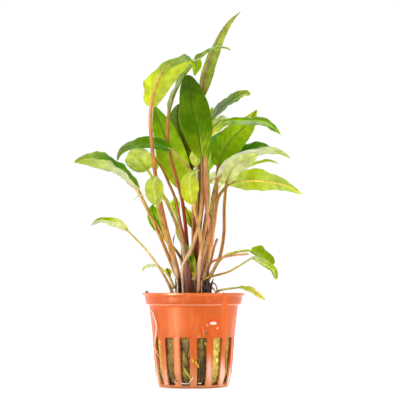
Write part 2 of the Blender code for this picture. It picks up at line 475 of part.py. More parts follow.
def leaf(name, stalk, rib, left, right, face, fold, thick):
    """Stalk and blade as one body: round rings up the stalk, flat folded rings along the blade."""
    rib_route = [seen(p) for p in rib]
    length = sum((q - p).length for p, q in zip(rib_route, rib_route[1:]))
    small = length < SMALL_LEAF * MM
    stalk_steps = SMALL_STALK_STEPS if small else STALK_STEPS
    blade_steps = SMALL_BLADE_STEPS if small else BLADE_STEPS
    stalk_route = smooth_route([seen(p) for p in stalk], stalk_steps)
    fine_rib = smooth_route(rib_route, RIB_PARTS)
    faces = [Vector(f).normalized() for f in face]
    foot, neck = (r * MM for r in thick)

    rings = []
    first_side = direction(fine_rib, 0).cross(faces[0]).normalized()
    for i, centre in enumerate(stalk_route):
        share = i / stalk_steps
        forward = direction(stalk_route, i) if i else Vector((0, 0, 1))
        side = (first_side - forward * first_side.dot(forward)).normalized()
        radius = foot + (neck - foot) * share
        if i == stalk_steps:
            radius = neck * 0.8
        rings.append(round_ring(centre, forward, side, radius))
    for i in range(1, blade_steps + 1):
        t = (i / blade_steps) ** RING_SPREAD if i > 1 else BASE_RING
        at = min(t, TIP_RING)
        place = round(at * RIB_PARTS)
        centre = fine_rib[place]
        forward = direction(fine_rib, place)
        looks = turned_face(faces, at)
        side = forward.cross(looks).normalized()
        up = side.cross(forward).normalized()
        width = [(blade_width(w, at) + LEAST_HALF_WIDTH) * MM for w in (left, right)]
        rings.append(blade_ring(centre, side, up, width[0], width[1], math.radians(fold),
                                neck * 0.7 * (1 - t)))
    colour = PALE_GREEN if name in LIGHT_LEAVES else GREEN
    return finished(name, loft(rings), colour, 0.4)


def bare_stalk(name, route, thick):
    places = smooth_route([seen(p) for p in route], STALK_STEPS)
    foot, end = (r * MM for r in thick)
    rings = []
    for i, centre in enumerate(places):
        forward = direction(places, i) if i else Vector((0, 0, 1))
        side = forward.cross(Vector((0, 1, 0))).normalized()
        rings.append(round_ring(centre, forward, side, foot + (end - foot) * i / STALK_STEPS))
    return finished(name, loft(rings), STALK_BROWN, 0.4)


def pot_radius(up):
    """Outer radius of the pot's wall, in mm, at a height."""
    for (low, inner), (high, outer) in zip(WALL_OUTLINE, WALL_OUTLINE[1:]):
        if up <= high:
            break
    return inner + (outer - inner) * (up - low) / (high - low)


def turned(profile):
    """A body turned from a profile of (radius, height) in mm, which starts and ends on the axis."""
    bm = bmesh.new()
    verts = [bm.verts.new((r * MM, 0, z * MM)) for r, z in profile]
    edges = [bm.edges.new(pair) for pair in zip(verts, verts[1:])]
    bmesh.ops.spin(bm, geom=verts + edges, axis=(0, 0, 1), cent=(0, 0, 0), angle=math.tau,
                   steps=TURN_STEPS, use_merge=True)
    bmesh.ops.remove_doubles(bm, verts=bm.verts, dist=1e-6)
    bmesh.ops.recalc_face_normals(bm, faces=bm.faces)
    return bm


def wedge(bm, angle, low_width, high_width):
    """One cutter for a slot: a tapered plate standing in the wall, its top corners cut off."""
    across = Vector((-math.sin(angle), math.cos(angle), 0))
    away = Vector((math.cos(angle), math.sin(angle), 0))
    low, high = low_width / 2, high_width / 2
    outline = [(-low, SLOT_BOTTOM), (low, SLOT_BOTTOM), (high, SLOT_TOP - SLOT_CORNER),
               (high - SLOT_CORNER, SLOT_TOP), (SLOT_CORNER - high, SLOT_TOP),
               (-high, SLOT_TOP - SLOT_CORNER)]
    verts = [bm.verts.new((away * SLOT_CUT_FROM + across * s + Vector((0, 0, z))) * MM) for s, z in outline]
    plate = bm.faces.new(verts)
    drawn = bmesh.ops.extrude_face_region(bm, geom=[plate])
    ahead = [v for v in drawn["geom"] if isinstance(v, bmesh.types.BMVert)]
    bmesh.ops.translate(bm, verts=ahead, vec=away * (SLOT_CUT_TO - SLOT_CUT_FROM) * MM)


def make_pot():
    """The pot turned from its profile, with the slots and the drain holes cut out of it."""
    profile = [(0, 0), (BASE_RADIUS - BASE_BEVEL, 0), (BASE_RADIUS, BASE_BEVEL)]
    profile += [(r, z) for z, r in WALL_OUTLINE[1:]]
    profile += [(BAND_LOW_RADIUS, BAND_BOTTOM + BAND_STEP), (BAND_TOP_RADIUS, LIP_BOTTOM),
                (RIM_RADIUS, LIP_BOTTOM + LIP_BEVEL), (RIM_RADIUS, POT_HEIGHT - LIP_BEVEL),
                (RIM_RADIUS - LIP_BEVEL, POT_HEIGHT), (BAND_TOP_RADIUS - WALL, POT_HEIGHT),
                (BAND_LOW_RADIUS - WALL, BAND_BOTTOM + WALL)]
    profile += [(r - WALL, z) for z, r in WALL_OUTLINE[3:1:-1]]
    profile += [(BASE_RADIUS - WALL, BASE_THICKNESS), (0, BASE_THICKNESS)]
    pot = finished("pot", turned(profile), (0.86, 0.17, 0.045), 0.35)

    cutters = bmesh.new()
    pitch = math.tau / SLOT_COUNT
    low_width = BASE_RADIUS * pitch - RIB_WIDTH
    high_width = pot_radius(SLOT_TOP) * pitch - RIB_WIDTH
    front = -math.pi / 2
    for k in range(SLOT_COUNT):
        wedge(cutters, front + (k + 0.5) * pitch, low_width, high_width)
    for k in range(DRAIN_COUNT):
        turn = math.tau * (k + 0.5) / DRAIN_COUNT
        hole = bmesh.ops.create_cone(cutters, cap_ends=True, segments=12, radius1=DRAIN_RADIUS * MM,
                                     radius2=DRAIN_RADIUS * MM, depth=4 * BASE_THICKNESS * MM)["verts"]
        bmesh.ops.translate(cutters, verts=hole,
                            vec=Vector((math.cos(turn), math.sin(turn), 0)) * DRAIN_PLACE * MM)
    cutter = finished("slot_cutter", cutters, (0.5, 0.5, 0.5), 0.5)
    cutter.hide_render = True
    cutter.display_type = "WIRE"
    cut = pot.modifiers.new("slots", "BOOLEAN")
    cut.operation = "DIFFERENCE"
    cut.solver = "EXACT"
    cut.object = cutter
    shaped = bpy.data.meshes.new_from_object(pot.evaluated_get(bpy.context.evaluated_depsgraph_get()))
    shaped.set_sharp_from_angle(angle=math.radians(SHARP_ANGLE))
    pot.modifiers.clear()
    pot.data = shaped
    bpy.data.objects.remove(cutter)


def make_rock_wool():
    """The plug of rock wool, which fills the pot to just under its band."""
    profile = [(0, WOOL_BOTTOM), (WOOL_LOW_RADIUS, WOOL_BOTTOM)]
    profile += [(r - WALL - GAP, z) for z, r in WALL_OUTLINE[2:4]]
    profile += [(WOOL_TOP_RADIUS, WOOL_TOP - WOOL_BEVEL), (WOOL_TOP_RADIUS - WOOL_BEVEL, WOOL_TOP),
                (0, WOOL_TOP)]
    finished("rock_wool", turned(profile), (0.16, 0.11, 0.04), 0.95)


def make_crown():
    """The short rootstock with the merged sheaths of old stalks, fluted down its sides."""
    def ring(up, size):
        places = []
        for k in range(CROWN_SIDES):
            turn = math.tau * k / CROWN_SIDES
            c, s = math.cos(turn), math.sin(turn)
            power = CROWN_SQUARENESS
            reach = (abs(c) ** power + abs(s) ** power) ** (-1 / power)
            flute = 1.0 if k % 2 else CROWN_FLUTE
            x = CROWN_CENTRE[0] + CROWN_HALF_X * size * reach * c * flute
            y = CROWN_CENTRE[1] + CROWN_HALF_Y * size * reach * s * flute
            places.append(Vector((x, y, up)) * MM)
        return places

    rings = [ring(up, size) for up, size in CROWN_OUTLINE]
    finished("crown", loft(rings), (0.10, 0.045, 0.02), 0.7)


def make_root():
    """A white root that has grown out under the rim and lies down the pot's wall."""
    places = []
    for across, up in ROOT_ROUTE:
        reach = pot_radius(up) + GAP + ROOT_RADIUS
        places.append(Vector((across, -math.sqrt(reach ** 2 - across ** 2), up)) * MM)
    places = smooth_route(places, ROOT_STEPS)
    rings = []
    for i, centre in enumerate(places):
        forward = direction(places, i)
        away = Vector((centre.x, centre.y, 0)).normalized()
        side = forward.cross(away).normalized()
        rings.append(round_ring(centre, forward, side, ROOT_RADIUS * MM))
    finished("root_left", loft(rings), (0.8, 0.62, 0.42), 0.5)


for old in list(bpy.data.objects):
    bpy.data.objects.remove(old)

make_pot()
make_rock_wool()
make_crown()
make_root()
for leaf_name, shape in LEAVES.items():
    leaf(leaf_name, **shape)
for stalk_name, shape in BARE_STALKS.items():
    bare_stalk(stalk_name, **shape)
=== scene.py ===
"""The looks of the potted cryptocoryne, piece by piece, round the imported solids.

Metres, +Z up, the front view looks along +Y. Sizes in the sections are in millimetres unless a name
says otherwise, and MM turns them into metres.
"""

import math
import random

import bmesh
import bpy
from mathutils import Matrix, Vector, noise


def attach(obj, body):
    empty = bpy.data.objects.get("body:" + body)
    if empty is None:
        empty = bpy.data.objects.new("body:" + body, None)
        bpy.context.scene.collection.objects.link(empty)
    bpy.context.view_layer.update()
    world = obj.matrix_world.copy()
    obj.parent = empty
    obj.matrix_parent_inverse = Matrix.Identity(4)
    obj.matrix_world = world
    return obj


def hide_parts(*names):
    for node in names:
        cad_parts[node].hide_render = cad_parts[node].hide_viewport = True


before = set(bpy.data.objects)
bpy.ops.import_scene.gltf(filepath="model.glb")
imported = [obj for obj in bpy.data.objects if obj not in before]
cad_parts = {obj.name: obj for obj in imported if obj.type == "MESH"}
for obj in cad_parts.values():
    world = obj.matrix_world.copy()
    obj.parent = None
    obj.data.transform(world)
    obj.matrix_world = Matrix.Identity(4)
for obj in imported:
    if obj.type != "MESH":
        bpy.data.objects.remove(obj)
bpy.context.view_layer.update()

MM = 0.001

# Camera, light and floor. A long lens level with the pot looks up a little at the plant, in front of
# plain white. The light is bright all round and strongest from behind, so that thin leaves glow.
camera = bpy.data.objects.new("photo_camera", bpy.data.cameras.new("photo_camera"))
camera.location = (0.0034, -0.75, 0.0485)
camera.rotation_euler = (math.radians(93.86), 0, 0)
camera.data.sensor_width = 36
camera.data.lens = 126.18
bpy.context.scene.collection.objects.link(camera)
bpy.context.scene.camera = camera
bpy.context.scene.view_settings.view_transform = "Standard"


def add(tree, kind, inputs=(), **settings):
    """A node in a tree, with its settings, and each input either linked or set."""
    made = tree.nodes.new("ShaderNode" + kind)
    for key, value in settings.items():
        setattr(made, key, value)
    for key, value in dict(inputs).items():
        if isinstance(value, bpy.types.NodeSocket):
            tree.links.new(value, made.inputs[key])
        else:
            made.inputs[key].default_value = value
    return made


def light_studio():
    world = bpy.data.worlds.new("white_studio")
    world.use_nodes = True
    tree = world.node_tree
    tree.nodes.clear()
    place = add(tree, "TexCoord").outputs["Generated"]
    back = add(tree, "SeparateXYZ", {0: place}).outputs["Y"]
    strength = add(tree, "MapRange", {"Value": back, "From Min": -0.5, "From Max": 0.6, "To Min": 0.22,
                                      "To Max": 2.1}, interpolation_type="SMOOTHSTEP").outputs[0]
    around = add(tree, "Background", {"Color": (1, 1, 1, 1), "Strength": strength})
    plain = add(tree, "Background", {"Color": (1, 1, 1, 1), "Strength": 1.02})
    seen_directly = add(tree, "LightPath").outputs["Is Camera Ray"]
    both = add(tree, "MixShader", {0: seen_directly, 1: around.outputs[0], 2: plain.outputs[0]})
    tree.links.new(both.outputs[0], add(tree, "OutputWorld").inputs[0])
    bpy.context.scene.world = world


def aimed_lamp(name, kind, energy, place, target, **settings):
    lamp = bpy.data.objects.new(name, bpy.data.lights.new(name, kind))
    lamp.data.energy = energy
    for key, value in settings.items():
        setattr(lamp.data, key, value)
    lamp.location = place
    lamp.rotation_euler = (Vector(target) - Vector(place)).to_track_quat("-Z", "Y").to_euler()
    bpy.context.scene.collection.objects.link(lamp)
    return lamp


light_studio()
aimed_lamp("back_sun", "SUN", 2.6, (0.3, 0.9, 1.3), (0, 0, 0.1), angle=math.radians(50))
aimed_lamp("left_softbox", "AREA", 7.5, (-0.75, -0.62, 0.35), (0, 0, 0.08), shape="RECTANGLE", size=0.25,
           size_y=0.9)
aimed_lamp("right_softbox", "AREA", 5, (0.8, -0.45, 0.5), (0, 0, 0.1), shape="RECTANGLE", size=0.25,
           size_y=0.8)
sheen_strip = aimed_lamp("sheen_strip", "AREA", 22, (-0.6, -0.54, 0.13), (0, 0, 0.04),
                         shape="RECTANGLE", size=0.17, size_y=0.24)
sheen_strip.visible_diffuse = False
sheen_strip.visible_transmission = False


def paint(red, green, blue):
    """A colour as read off a screen, 0 to 255, made linear."""
    return tuple((c / 255) ** 2.2 for c in (red, green, blue))


FLOOR_HALF = 12.0
FLOOR_GAP = 0.05
bm = bmesh.new()
bmesh.ops.create_grid(bm, x_segments=8, y_segments=8, size=FLOOR_HALF)
bmesh.ops.translate(bm, verts=bm.verts, vec=(0, 0, -FLOOR_GAP * MM))
floor_mesh = bpy.data.meshes.new("floor")
bm.to_mesh(floor_mesh)
bm.free()
floor = bpy.data.objects.new("floor", floor_mesh)
bpy.context.scene.collection.objects.link(floor)
white_board = bpy.data.materials.new("white_board")
white_board.use_nodes = True
board = white_board.node_tree.nodes["Principled BSDF"]
board.inputs["Base Color"].default_value = (0.96, 0.96, 0.96, 1)
board.inputs["Roughness"].default_value = 0.9
board.inputs["Specular IOR Level"].default_value = 0.0
floor_mesh.materials.append(white_board)


# Pot. A round nursery pot moulded in thin orange plastic: a flat base, a wall cut into ribs by tall
# slots, a plain band that steps out above it, and a thin lip turned outwards round the rim.
BASE_RADIUS = 18.8
WALL = 1.0
EDGE_ROUNDING = 0.14
BAND_BOTTOM = 42.9
BAND_RADIUS = 25.4
BAND_FLARE = 0.6
LIP_BOTTOM = 48.1
RIM_RADIUS = 27.5
SLOT_COUNT = 15
SLOT_TOP = 26.1
SLOT_BOTTOM = 1.1
SLOT_CORNER = 0.6
RIB_WIDTH = 3.7
RIB_COLUMNS = 4
SLOT_COLUMNS = 8
DRAIN_COUNT = 6
DRAIN_RING = 10.5
DRAIN_RADIUS = 1.6
FRONT = -math.pi / 2
WALL_OUTLINE = [(0.0, 18.2), (0.5, BASE_RADIUS), (3.4, 19.6), (7.3, 20.5), (SLOT_TOP, 21.9),
                (BAND_BOTTOM, 23.8)]
BASE_RINGS = [0.0, 5.0, 8.4, 9.1, 9.6, 10.2, 10.8, 11.4, 11.9, 12.6, 16.0, 17.6]
BASE_CORNER = [(18.2, 0.12), (18.6, 0.5)]
SLOT_HEIGHTS = [1.28, 1.7, 2.6, 3.4, 4.6, 6.0, 7.6, 10, 13, 16, 19, 22, 24.2, 25.5, 25.92, SLOT_TOP]
UPPER_HEIGHTS = [27.2, 30, 34, 38, 41.5, BAND_BOTTOM - 0.1]
BAND_OUTLINE = [(24.3, BAND_BOTTOM + 0.15), (25.1, BAND_BOTTOM + 0.35), (BAND_RADIUS, BAND_BOTTOM + 0.8),
                (25.6, 44.5), (25.85, 46.5), (BAND_RADIUS + BAND_FLARE, LIP_BOTTOM - 0.4),
                (26.25, LIP_BOTTOM + 0.05), (26.8, LIP_BOTTOM + 0.2), (RIM_RADIUS, LIP_BOTTOM + 0.3)]
# Colours of the plastic by height. The paler tones towards the foot are a painted reflection of the white
# floor, and the pale tone at 43.1 mm is a painted highlight on the step under the band. Then ovals of another
# colour
# on the front: across, up, half width, half height, colour, amount, and how ragged the edge is. The five pale
# pink ovals low on the ribs are painted highlights.
POT_TONES_AND_PAINTED_SHEEN = [(0.0, (228, 138, 92)), (1.2, (232, 148, 98)), (5.0, (222, 142, 98)), (11.0, (208, 112, 60)),
             (20.0, (201, 93, 34)), (26.0, (198, 84, 22)), (34.0, (203, 88, 26)), (42.6, (200, 84, 22)),
             (43.1, (232, 160, 120)), (43.7, (190, 76, 20)), (47.4, (196, 84, 26)), (48.3, (214, 112, 60)),
             (50.0, (206, 100, 42))]
TONES_TOP = POT_TONES_AND_PAINTED_SHEEN[-1][0]
POT_MARKS_AND_PAINTED_HIGHLIGHTS = [
    # The pale pink ovals at 5 to 9 mm up are painted highlights on the lower ribs.
    (16.3, 36.0, 1.9, 14.0, (213, 92, 0), 0.95, 0.7), (8.2, 9.0, 1.9, 9.0, (248, 206, 184), 0.7, 0.0),
    (15.0, 7.0, 2.2, 9.5, (248, 206, 186), 0.75, 0.0), (18.4, 6.0, 1.6, 8.0, (248, 206, 190), 0.7, 0.0),
    (-18.2, 7.0, 2.0, 9.0, (248, 200, 172), 0.7, 0.0), (-14.0, 5.0, 1.9, 7.0, (246, 190, 156), 0.5, 0.0),
    (10.4, 34.6, 4.7, 2.2, (212, 72, 0), 0.85, 0.35), (12.3, 29.2, 2.9, 4.2, (214, 82, 4), 0.75, 0.9),
    (4.6, 31.0, 2.4, 3.4, (206, 80, 16), 0.6, 0.9), (-9.6, 32.3, 1.3, 0.9, (196, 70, 12), 0.6, 0.4),
    (-20.2, 30.4, 0.9, 3.6, (196, 66, 8), 0.7, 0.7), (-21.0, 25.6, 1.4, 1.2, (178, 62, 8), 0.6, 0.5),
    (-1.1, 23.6, 1.6, 0.9, (200, 68, 6), 0.7, 0.5), (19.6, 17.0, 0.9, 6.0, (214, 84, 2), 0.8, 0.5),
    (2.8, 26.8, 0.9, 1.4, (230, 140, 100), 0.6, 0.3)]


def pot_radius(up):
    """Outer radius of the pot's wall, in mm, at a height."""
    for (low, inner), (high, outer) in zip(WALL_OUTLINE, WALL_OUTLINE[1:]):
        if up <= high:
            break
    return inner + (outer - inner) * (up - low) / (high - low)


def shown(name, bm, finishes, slot, *nodes):
    """A mesh made into a smooth piece of the object, which stands for these solids."""
    mesh = bpy.data.meshes.new(name)
    bm.to_mesh(mesh)
    bm.free()
    mesh.shade_smooth()
    for finish in finishes:
        mesh.materials.append(finish)
    piece = bpy.data.objects.new(name, mesh)
    bpy.context.scene.collection.objects.link(piece)
    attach(piece, "root")
    if nodes:
        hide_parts(*nodes)
    return piece


def flat_paint(*rgb):
    """A colour as read off a screen, for a shader's socket."""
    return (*paint(*rgb), 1)


class Finish:
    """A material in the making, in object coordinates. Most methods add a node and return its output."""

    def __init__(self, name):
        self.material = bpy.data.materials.new(name)
        self.material.use_nodes = True
        self.tree = self.material.node_tree
        self.tree.nodes.clear()
        self.place = add(self.tree, "TexCoord").outputs["Object"]

    def node(self, kind, inputs=(), **settings):
        return add(self.tree, kind, inputs, **settings).outputs[0]

    def attribute(self, name, output="Color"):
        return add(self.tree, "Attribute", attribute_name=name).outputs[output]

    def stretched(self, upright):
        """Object coordinates for a pattern that is drawn out upwards."""
        return self.node("Mapping", {"Vector": self.place, "Scale": (1.0, 1.0, upright)})

    def noise(self, scale, detail, place=None, rough=0.5, distortion=0.0):
        return self.node("TexNoise", {"Vector": self.place if place is None else place, "Scale": scale,
                                      "Detail": detail, "Roughness": rough, "Distortion": distortion})

    def ranged(self, value, low, high, to_low, to_high, shape="LINEAR"):
        return self.node("MapRange", {"Value": value, "From Min": low, "From Max": high, "To Min": to_low,
                                      "To Max": to_high}, interpolation_type=shape)

    def maths(self, operation, *numbers):
        return self.node("Math", dict(enumerate(numbers)), operation=operation)

    def scaled(self, colour, level):
        return self.node("VectorMath", {0: colour, 3: level}, operation="SCALE")

    def blend(self, share, one, other):
        return self.node("MixRGB", {"Fac": share, "Color1": one, "Color2": other})

    def bump(self, height, strength, depth):
        return self.node("Bump", {"Height": height, "Strength": strength, "Distance": depth})

    def solid(self, colour, rough, specular, more=()):
        return self.node("BsdfPrincipled", {"Base Color": colour, "Roughness": rough,
                                            "Specular IOR Level": specular, **dict(more)})

    def lit_through(self, surface, glow, thin):
        """Lets a share of the light through a surface."""
        return self.node("MixShader", {0: glow, 1: surface, 2: self.node("BsdfTranslucent", thin)})

    def done(self, surface):
        self.tree.links.new(surface, add(self.tree, "OutputMaterial").inputs[0])
        return self.material


def orange_plastic():
    made = Finish("orange_plastic")
    x, y, z = add(made.tree, "SeparateXYZ", {0: made.place}).outputs
    cloud = made.noise(60.0, 3.0)
    flow = made.noise(420.0, 2.0, made.stretched(0.12))
    # Tones by height, with a painted floor reflection at the foot and a painted highlight under the band.
    ramp = add(made.tree, "ValToRGB", {"Fac": made.maths("DIVIDE", z, TONES_TOP * MM)})
    ramp.color_ramp.elements.remove(ramp.color_ramp.elements[0])
    for k, (up, tone) in enumerate(POT_TONES_AND_PAINTED_SHEEN):
        stop = ramp.color_ramp.elements[0] if k == 0 else ramp.color_ramp.elements.new(up / TONES_TOP)
        stop.position = up / TONES_TOP
        stop.color = flat_paint(*tone)
    base = made.scaled(ramp.outputs[0], made.ranged(cloud, 0.3, 0.7, 0.92, 1.07))
    # Pale upright streaks: partly scuffs on the plastic and partly painted sheen.
    streaks = made.ranged(flow, 0.56, 0.75, 0.0, 0.45)
    colour = made.blend(streaks, base, flat_paint(222, 134, 90))
    on_front = made.maths("LESS_THAN", y, 0.0)
    # Ovals over the tones: marks and wet patches, and painted highlights on the lower ribs.
    for across, up, wide, tall, tone, amount, ragged in POT_MARKS_AND_PAINTED_HIGHLIGHTS:
        off = made.node("VectorMath", {0: made.place, 1: (across * MM, 0, up * MM)}, operation="SUBTRACT")
        oval = made.node("VectorMath", {0: off, 1: (1 / (wide * MM), 0, 1 / (tall * MM))},
                         operation="MULTIPLY")
        reach = add(made.tree, "VectorMath", {0: oval}, operation="LENGTH").outputs["Value"]
        reach = made.maths("ADD", reach, made.ranged(flow, 0.0, 1.0, -ragged, ragged))
        inside = made.ranged(reach, 1.15, min(0.8, ragged + 0.1), 0.0, amount, "SMOOTHSTEP")
        colour = made.blend(made.maths("MULTIPLY", inside, on_front), colour, flat_paint(*tone))
    bump = made.bump(made.noise(1500.0, 2.0), 0.12, 0.0001)
    surface = made.solid(colour, made.ranged(cloud, 0.0, 1.0, 0.27, 0.4), 0.5,
                         {"Specular Tint": (1.0, 0.68, 0.42, 1), "Normal": bump})
    return made.done(made.lit_through(surface, 0.22, {"Color": colour}))


def make_pot():
    pitch = math.tau / SLOT_COUNT
    per_pitch = RIB_COLUMNS + SLOT_COLUMNS
    columns = SLOT_COUNT * per_pitch
    outline = [(radius, 0.0) for radius in BASE_RINGS] + BASE_CORNER
    first_slot_row = len(outline)
    outline += [(pot_radius(z), z) for z in [SLOT_BOTTOM] + SLOT_HEIGHTS + UPPER_HEIGHTS] + BAND_OUTLINE
    last_slot_row = first_slot_row + len(SLOT_HEIGHTS)
    bm = bmesh.new()
    grid = bmesh.ops.create_grid(bm, x_segments=columns, y_segments=len(outline) - 1, size=1)["verts"]
    for k, vert in enumerate(grid):
        row, column = divmod(k, columns + 1)
        radius, up = outline[row]
        sector, step = divmod(column, per_pitch)
        to_end = min(abs(up - SLOT_TOP), abs(up - SLOT_BOTTOM), SLOT_CORNER)
        corner = SLOT_CORNER - math.sqrt(SLOT_CORNER ** 2 - (SLOT_CORNER - to_end) ** 2)
        half_rib = math.asin((RIB_WIDTH / 2 + corner) / max(radius, BASE_RADIUS))
        if step <= RIB_COLUMNS:
            turn = half_rib * (2 * step / RIB_COLUMNS - 1)
        else:
            turn = half_rib + (pitch - 2 * half_rib) * (step - RIB_COLUMNS) / SLOT_COLUMNS
        angle = FRONT + sector * pitch + turn
        vert.co = Vector((math.cos(angle) * radius, math.sin(angle) * radius, up)) * MM
    slots = [face for k, face in enumerate(bm.faces)
             if first_slot_row <= k // columns < last_slot_row and k % columns % per_pitch >= RIB_COLUMNS]
    bmesh.ops.delete(bm, geom=slots, context="FACES")
    bmesh.ops.remove_doubles(bm, verts=bm.verts, dist=1e-7)
    for k in range(DRAIN_COUNT):
        angle = math.tau * (k + 0.5) / DRAIN_COUNT
        hole = Vector((math.cos(angle), math.sin(angle), 0)) * DRAIN_RING * MM
        inside = [face for face in bm.faces if (face.calc_center_median() - hole).length < DRAIN_RADIUS * MM]
        round_it = {vert for face in inside for vert in face.verts}
        bmesh.ops.delete(bm, geom=inside, context="FACES")
        for vert in round_it:
            if vert.is_valid:
                vert.co = hole + (vert.co - hole).normalized() * DRAIN_RADIUS * MM
    bmesh.ops.recalc_face_normals(bm, faces=bm.faces)
    lowest = min(bm.faces, key=lambda face: face.calc_center_median().z)
    if lowest.normal.z > 0:
        bmesh.ops.reverse_faces(bm, faces=bm.faces)
    bmesh.ops.solidify(bm, geom=bm.faces[:], thickness=WALL * MM)
    bmesh.ops.recalc_face_normals(bm, faces=bm.faces)
    piece = shown("slotted_pot", bm, [orange_plastic()], "pot", "pot")
    rounded = piece.modifiers.new("rounded_edges", "BEVEL")
    rounded.width = EDGE_ROUNDING * MM
    rounded.segments = 2
    rounded.limit_method = "ANGLE"
    rounded.angle_limit = math.radians(50)


make_pot()


# Drops and crumbs on the pot. The plant was lifted out of water a moment ago, so clear drops cling to
# the wall and one has run down it, and a few specks of wool and grit stick to the wall and the rim.
LUMP_ROUGHNESS = 0.16
# EYE is the camera's place in mm. Each drop and crumb is (across, up, half width, half height, half depth)
# in the front view, and each crumb on the rim is (x, y, z, half width, half height).
EYE = (3.4, -750.0, 48.5)
DROPS = [(7.0, 32.2, 0.7, 0.8, 0.35), (12.4, 30.8, 0.6, 0.9, 0.3),
         (-9.0, 31.9, 0.7, 0.6, 0.35), (-9.0, 25.4, 0.4, 0.5, 0.25), (-9.6, 19.8, 0.35, 0.45, 0.22),
         (-8.6, 6.9, 0.35, 0.4, 0.2), (-0.7, 22.8, 0.45, 0.5, 0.28), (5.0, 31.3, 0.9, 0.6, 0.3),
         (5.3, 29.0, 0.35, 1.3, 0.2), (7.9, 45.2, 0.5, 0.45, 0.25), (13.5, 44.3, 0.55, 0.4, 0.25)]
CRUMBS = [(6.9, 28.1, 0.55, 0.75, 0.35), (8.0, 45.5, 0.2, 0.15, 0.12), (13.9, 44.6, 0.2, 0.15, 0.12)]
RIM_CRUMBS = [(-24.9, -6.0, 50.0, 0.8, 0.55), (-23.9, -8.0, 49.7, 0.5, 0.35),
              (-25.4, -4.2, 49.7, 0.45, 0.3), (15.6, -19.6, 49.6, 0.35, 0.25),
              (12.2, -22.3, 49.55, 0.3, 0.22), (-12.0, -21.5, 49.55, 0.3, 0.2)]


def outside_radius(up):
    """Outer radius of wall or band at a height, in mm."""
    if up < BAND_BOTTOM:
        return pot_radius(max(up, 0.0))
    return BAND_RADIUS + BAND_FLARE * min((up - BAND_BOTTOM) / (LIP_BOTTOM - BAND_BOTTOM), 1.0)


def on_wall(across, up, proud=0.0):
    """The point on the pot's outside, in mm, that the front view shows at (across, up)."""
    back = 0.0
    for _ in range(8):
        spread = 1 - back / EYE[1]
        x = EYE[0] + (across - EYE[0]) * spread
        z = EYE[2] + (up - EYE[2]) * spread
        back = -math.sqrt((outside_radius(z) + proud) ** 2 - x * x)
    return Vector((x, back, z))


def clear_water():
    made = Finish("clear_water")
    bump = made.bump(made.noise(700.0, 1.0), 0.15, 0.0002)
    return made.done(made.solid((0.98, 0.86, 0.8, 1), 0.02, 0.5,
                                {"IOR": 1.33, "Transmission Weight": 1.0, "Normal": bump}))


def dark_grit():
    made = Finish("dark_grit")
    grain = made.noise(1800.0, 3.0)
    tone = made.blend(grain, flat_paint(58, 50, 42), flat_paint(112, 96, 72))
    return made.done(made.solid(tone, 0.8, 0.5, {"Normal": made.bump(grain, 0.6, 0.0002)}))


def outward(point):
    """The level direction out from the pot's axis."""
    return Vector((point.x, point.y, 0)).normalized()


def lumps(name, places, seed, finish):
    """Small lumps, each (centre, half width, half height, half depth), as a piece on the pot."""
    bm = bmesh.new()
    for k, (centre, wide, tall, deep) in enumerate(places):
        out = outward(centre)
        side = Vector((0, 0, 1)).cross(out).normalized()
        for vert in bmesh.ops.create_icosphere(bm, subdivisions=3, radius=1)["verts"]:
            rough = 1 + LUMP_ROUGHNESS * noise.noise(vert.co * 1.3 + Vector((seed + k * 7.3, 0, 0)))
            x, y, z = vert.co * rough
            vert.co = (centre + side * (x * wide) + out * (y * deep) + Vector((0, 0, z * tall))) * MM
    shown(name, bm, [finish], "pot")


lumps("water_drops", [(on_wall(across, up), *half) for across, up, *half in DROPS], 1, clear_water())

# Big drop. It hangs on the wall at the right, and the light it catches is painted into it as a near-white
# colour, a painted highlight. It is wider than it is tall.
BIG_DROP = (10.5, 33.3, 1.9, 0.8, 0.5)


def highlight_painted_water():
    made = Finish("highlight_painted_water")
    # Near-white tones: the drop's painted highlight.
    tone = made.blend(made.noise(420.0, 2.0), flat_paint(255, 214, 192), flat_paint(255, 244, 238))
    return made.done(made.solid(tone, 0.08, 0.5, {"IOR": 1.33, "Transmission Weight": 0.25}))


lumps("big_drop", [(on_wall(*BIG_DROP[:2]), *BIG_DROP[2:])], 11, highlight_painted_water())
lumps("pot_crumbs", [(on_wall(across, up), *half) for across, up, *half in CRUMBS]
      + [(Vector((x, y, z)), wide, tall, wide * 0.8) for x, y, z, wide, tall in RIM_CRUMBS], 5, dark_grit())


# Rock wool. A plug of brown-green mineral wool fills the pot and swells a little into the slots. It is
# soaked, so it is dark in places, and matted with loose fibres and fine roots.
WOOL_OUTLINE = [(1.8, 0.0), (1.8, 9.0), (1.8, 15.0), (2.6, 16.9), (5.0, 18.0), (7.3, 18.9), (12.0, 19.3),
                (20.0, 20.0), (26.1, 20.4), (34.0, 21.0), (40.0, 21.5), (43.4, 21.7), (44.5, 21.0),
                (45.0, 18.0), (45.2, 12.0), (45.2, 5.0), (45.2, 0.0)]
WOOL_SHOULDER = 44
WOOL_TOP = 43
DAMP_HEIGHT = 9
WOOL_COLUMNS = 240
WOOL_ROWS = 110
WOOL_SWELL = 0.55
# Colours of the wool in the slots, by degrees from the front, and how many degrees each one reaches.
WOOL_TINTS = {-84: (150, 126, 62), -60: (196, 168, 72), -36: (146, 122, 56), -12: (148, 124, 58),
              12: (142, 118, 56), 36: (226, 204, 96), 60: (168, 142, 64), 84: (110, 88, 46)}
TINT_REACH = 14
BRIGHT_SLOTS = (-60, 36)
PLAIN_WOOL = (140, 118, 58)
WET_WOOL = (66, 46, 20)
FIBRE_COUNT = 1500
FIBRE_STEPS = 6
FIBRE_PAINTS = [(196, 168, 98), (164, 138, 76), (128, 100, 50), (62, 44, 22), (216, 196, 118)]


def between(stops, share):
    """The value part of the way along evenly spaced stops."""
    place = share * (len(stops) - 1)
    k = min(int(place), len(stops) - 2)
    return Vector(stops[k]).lerp(Vector(stops[k + 1]), place - k)


def blend_paints(stops, share):
    """A colour part of the way along evenly spaced colours."""
    return between([paint(*stop) for stop in stops], min(max(share, 0.0), 1.0))


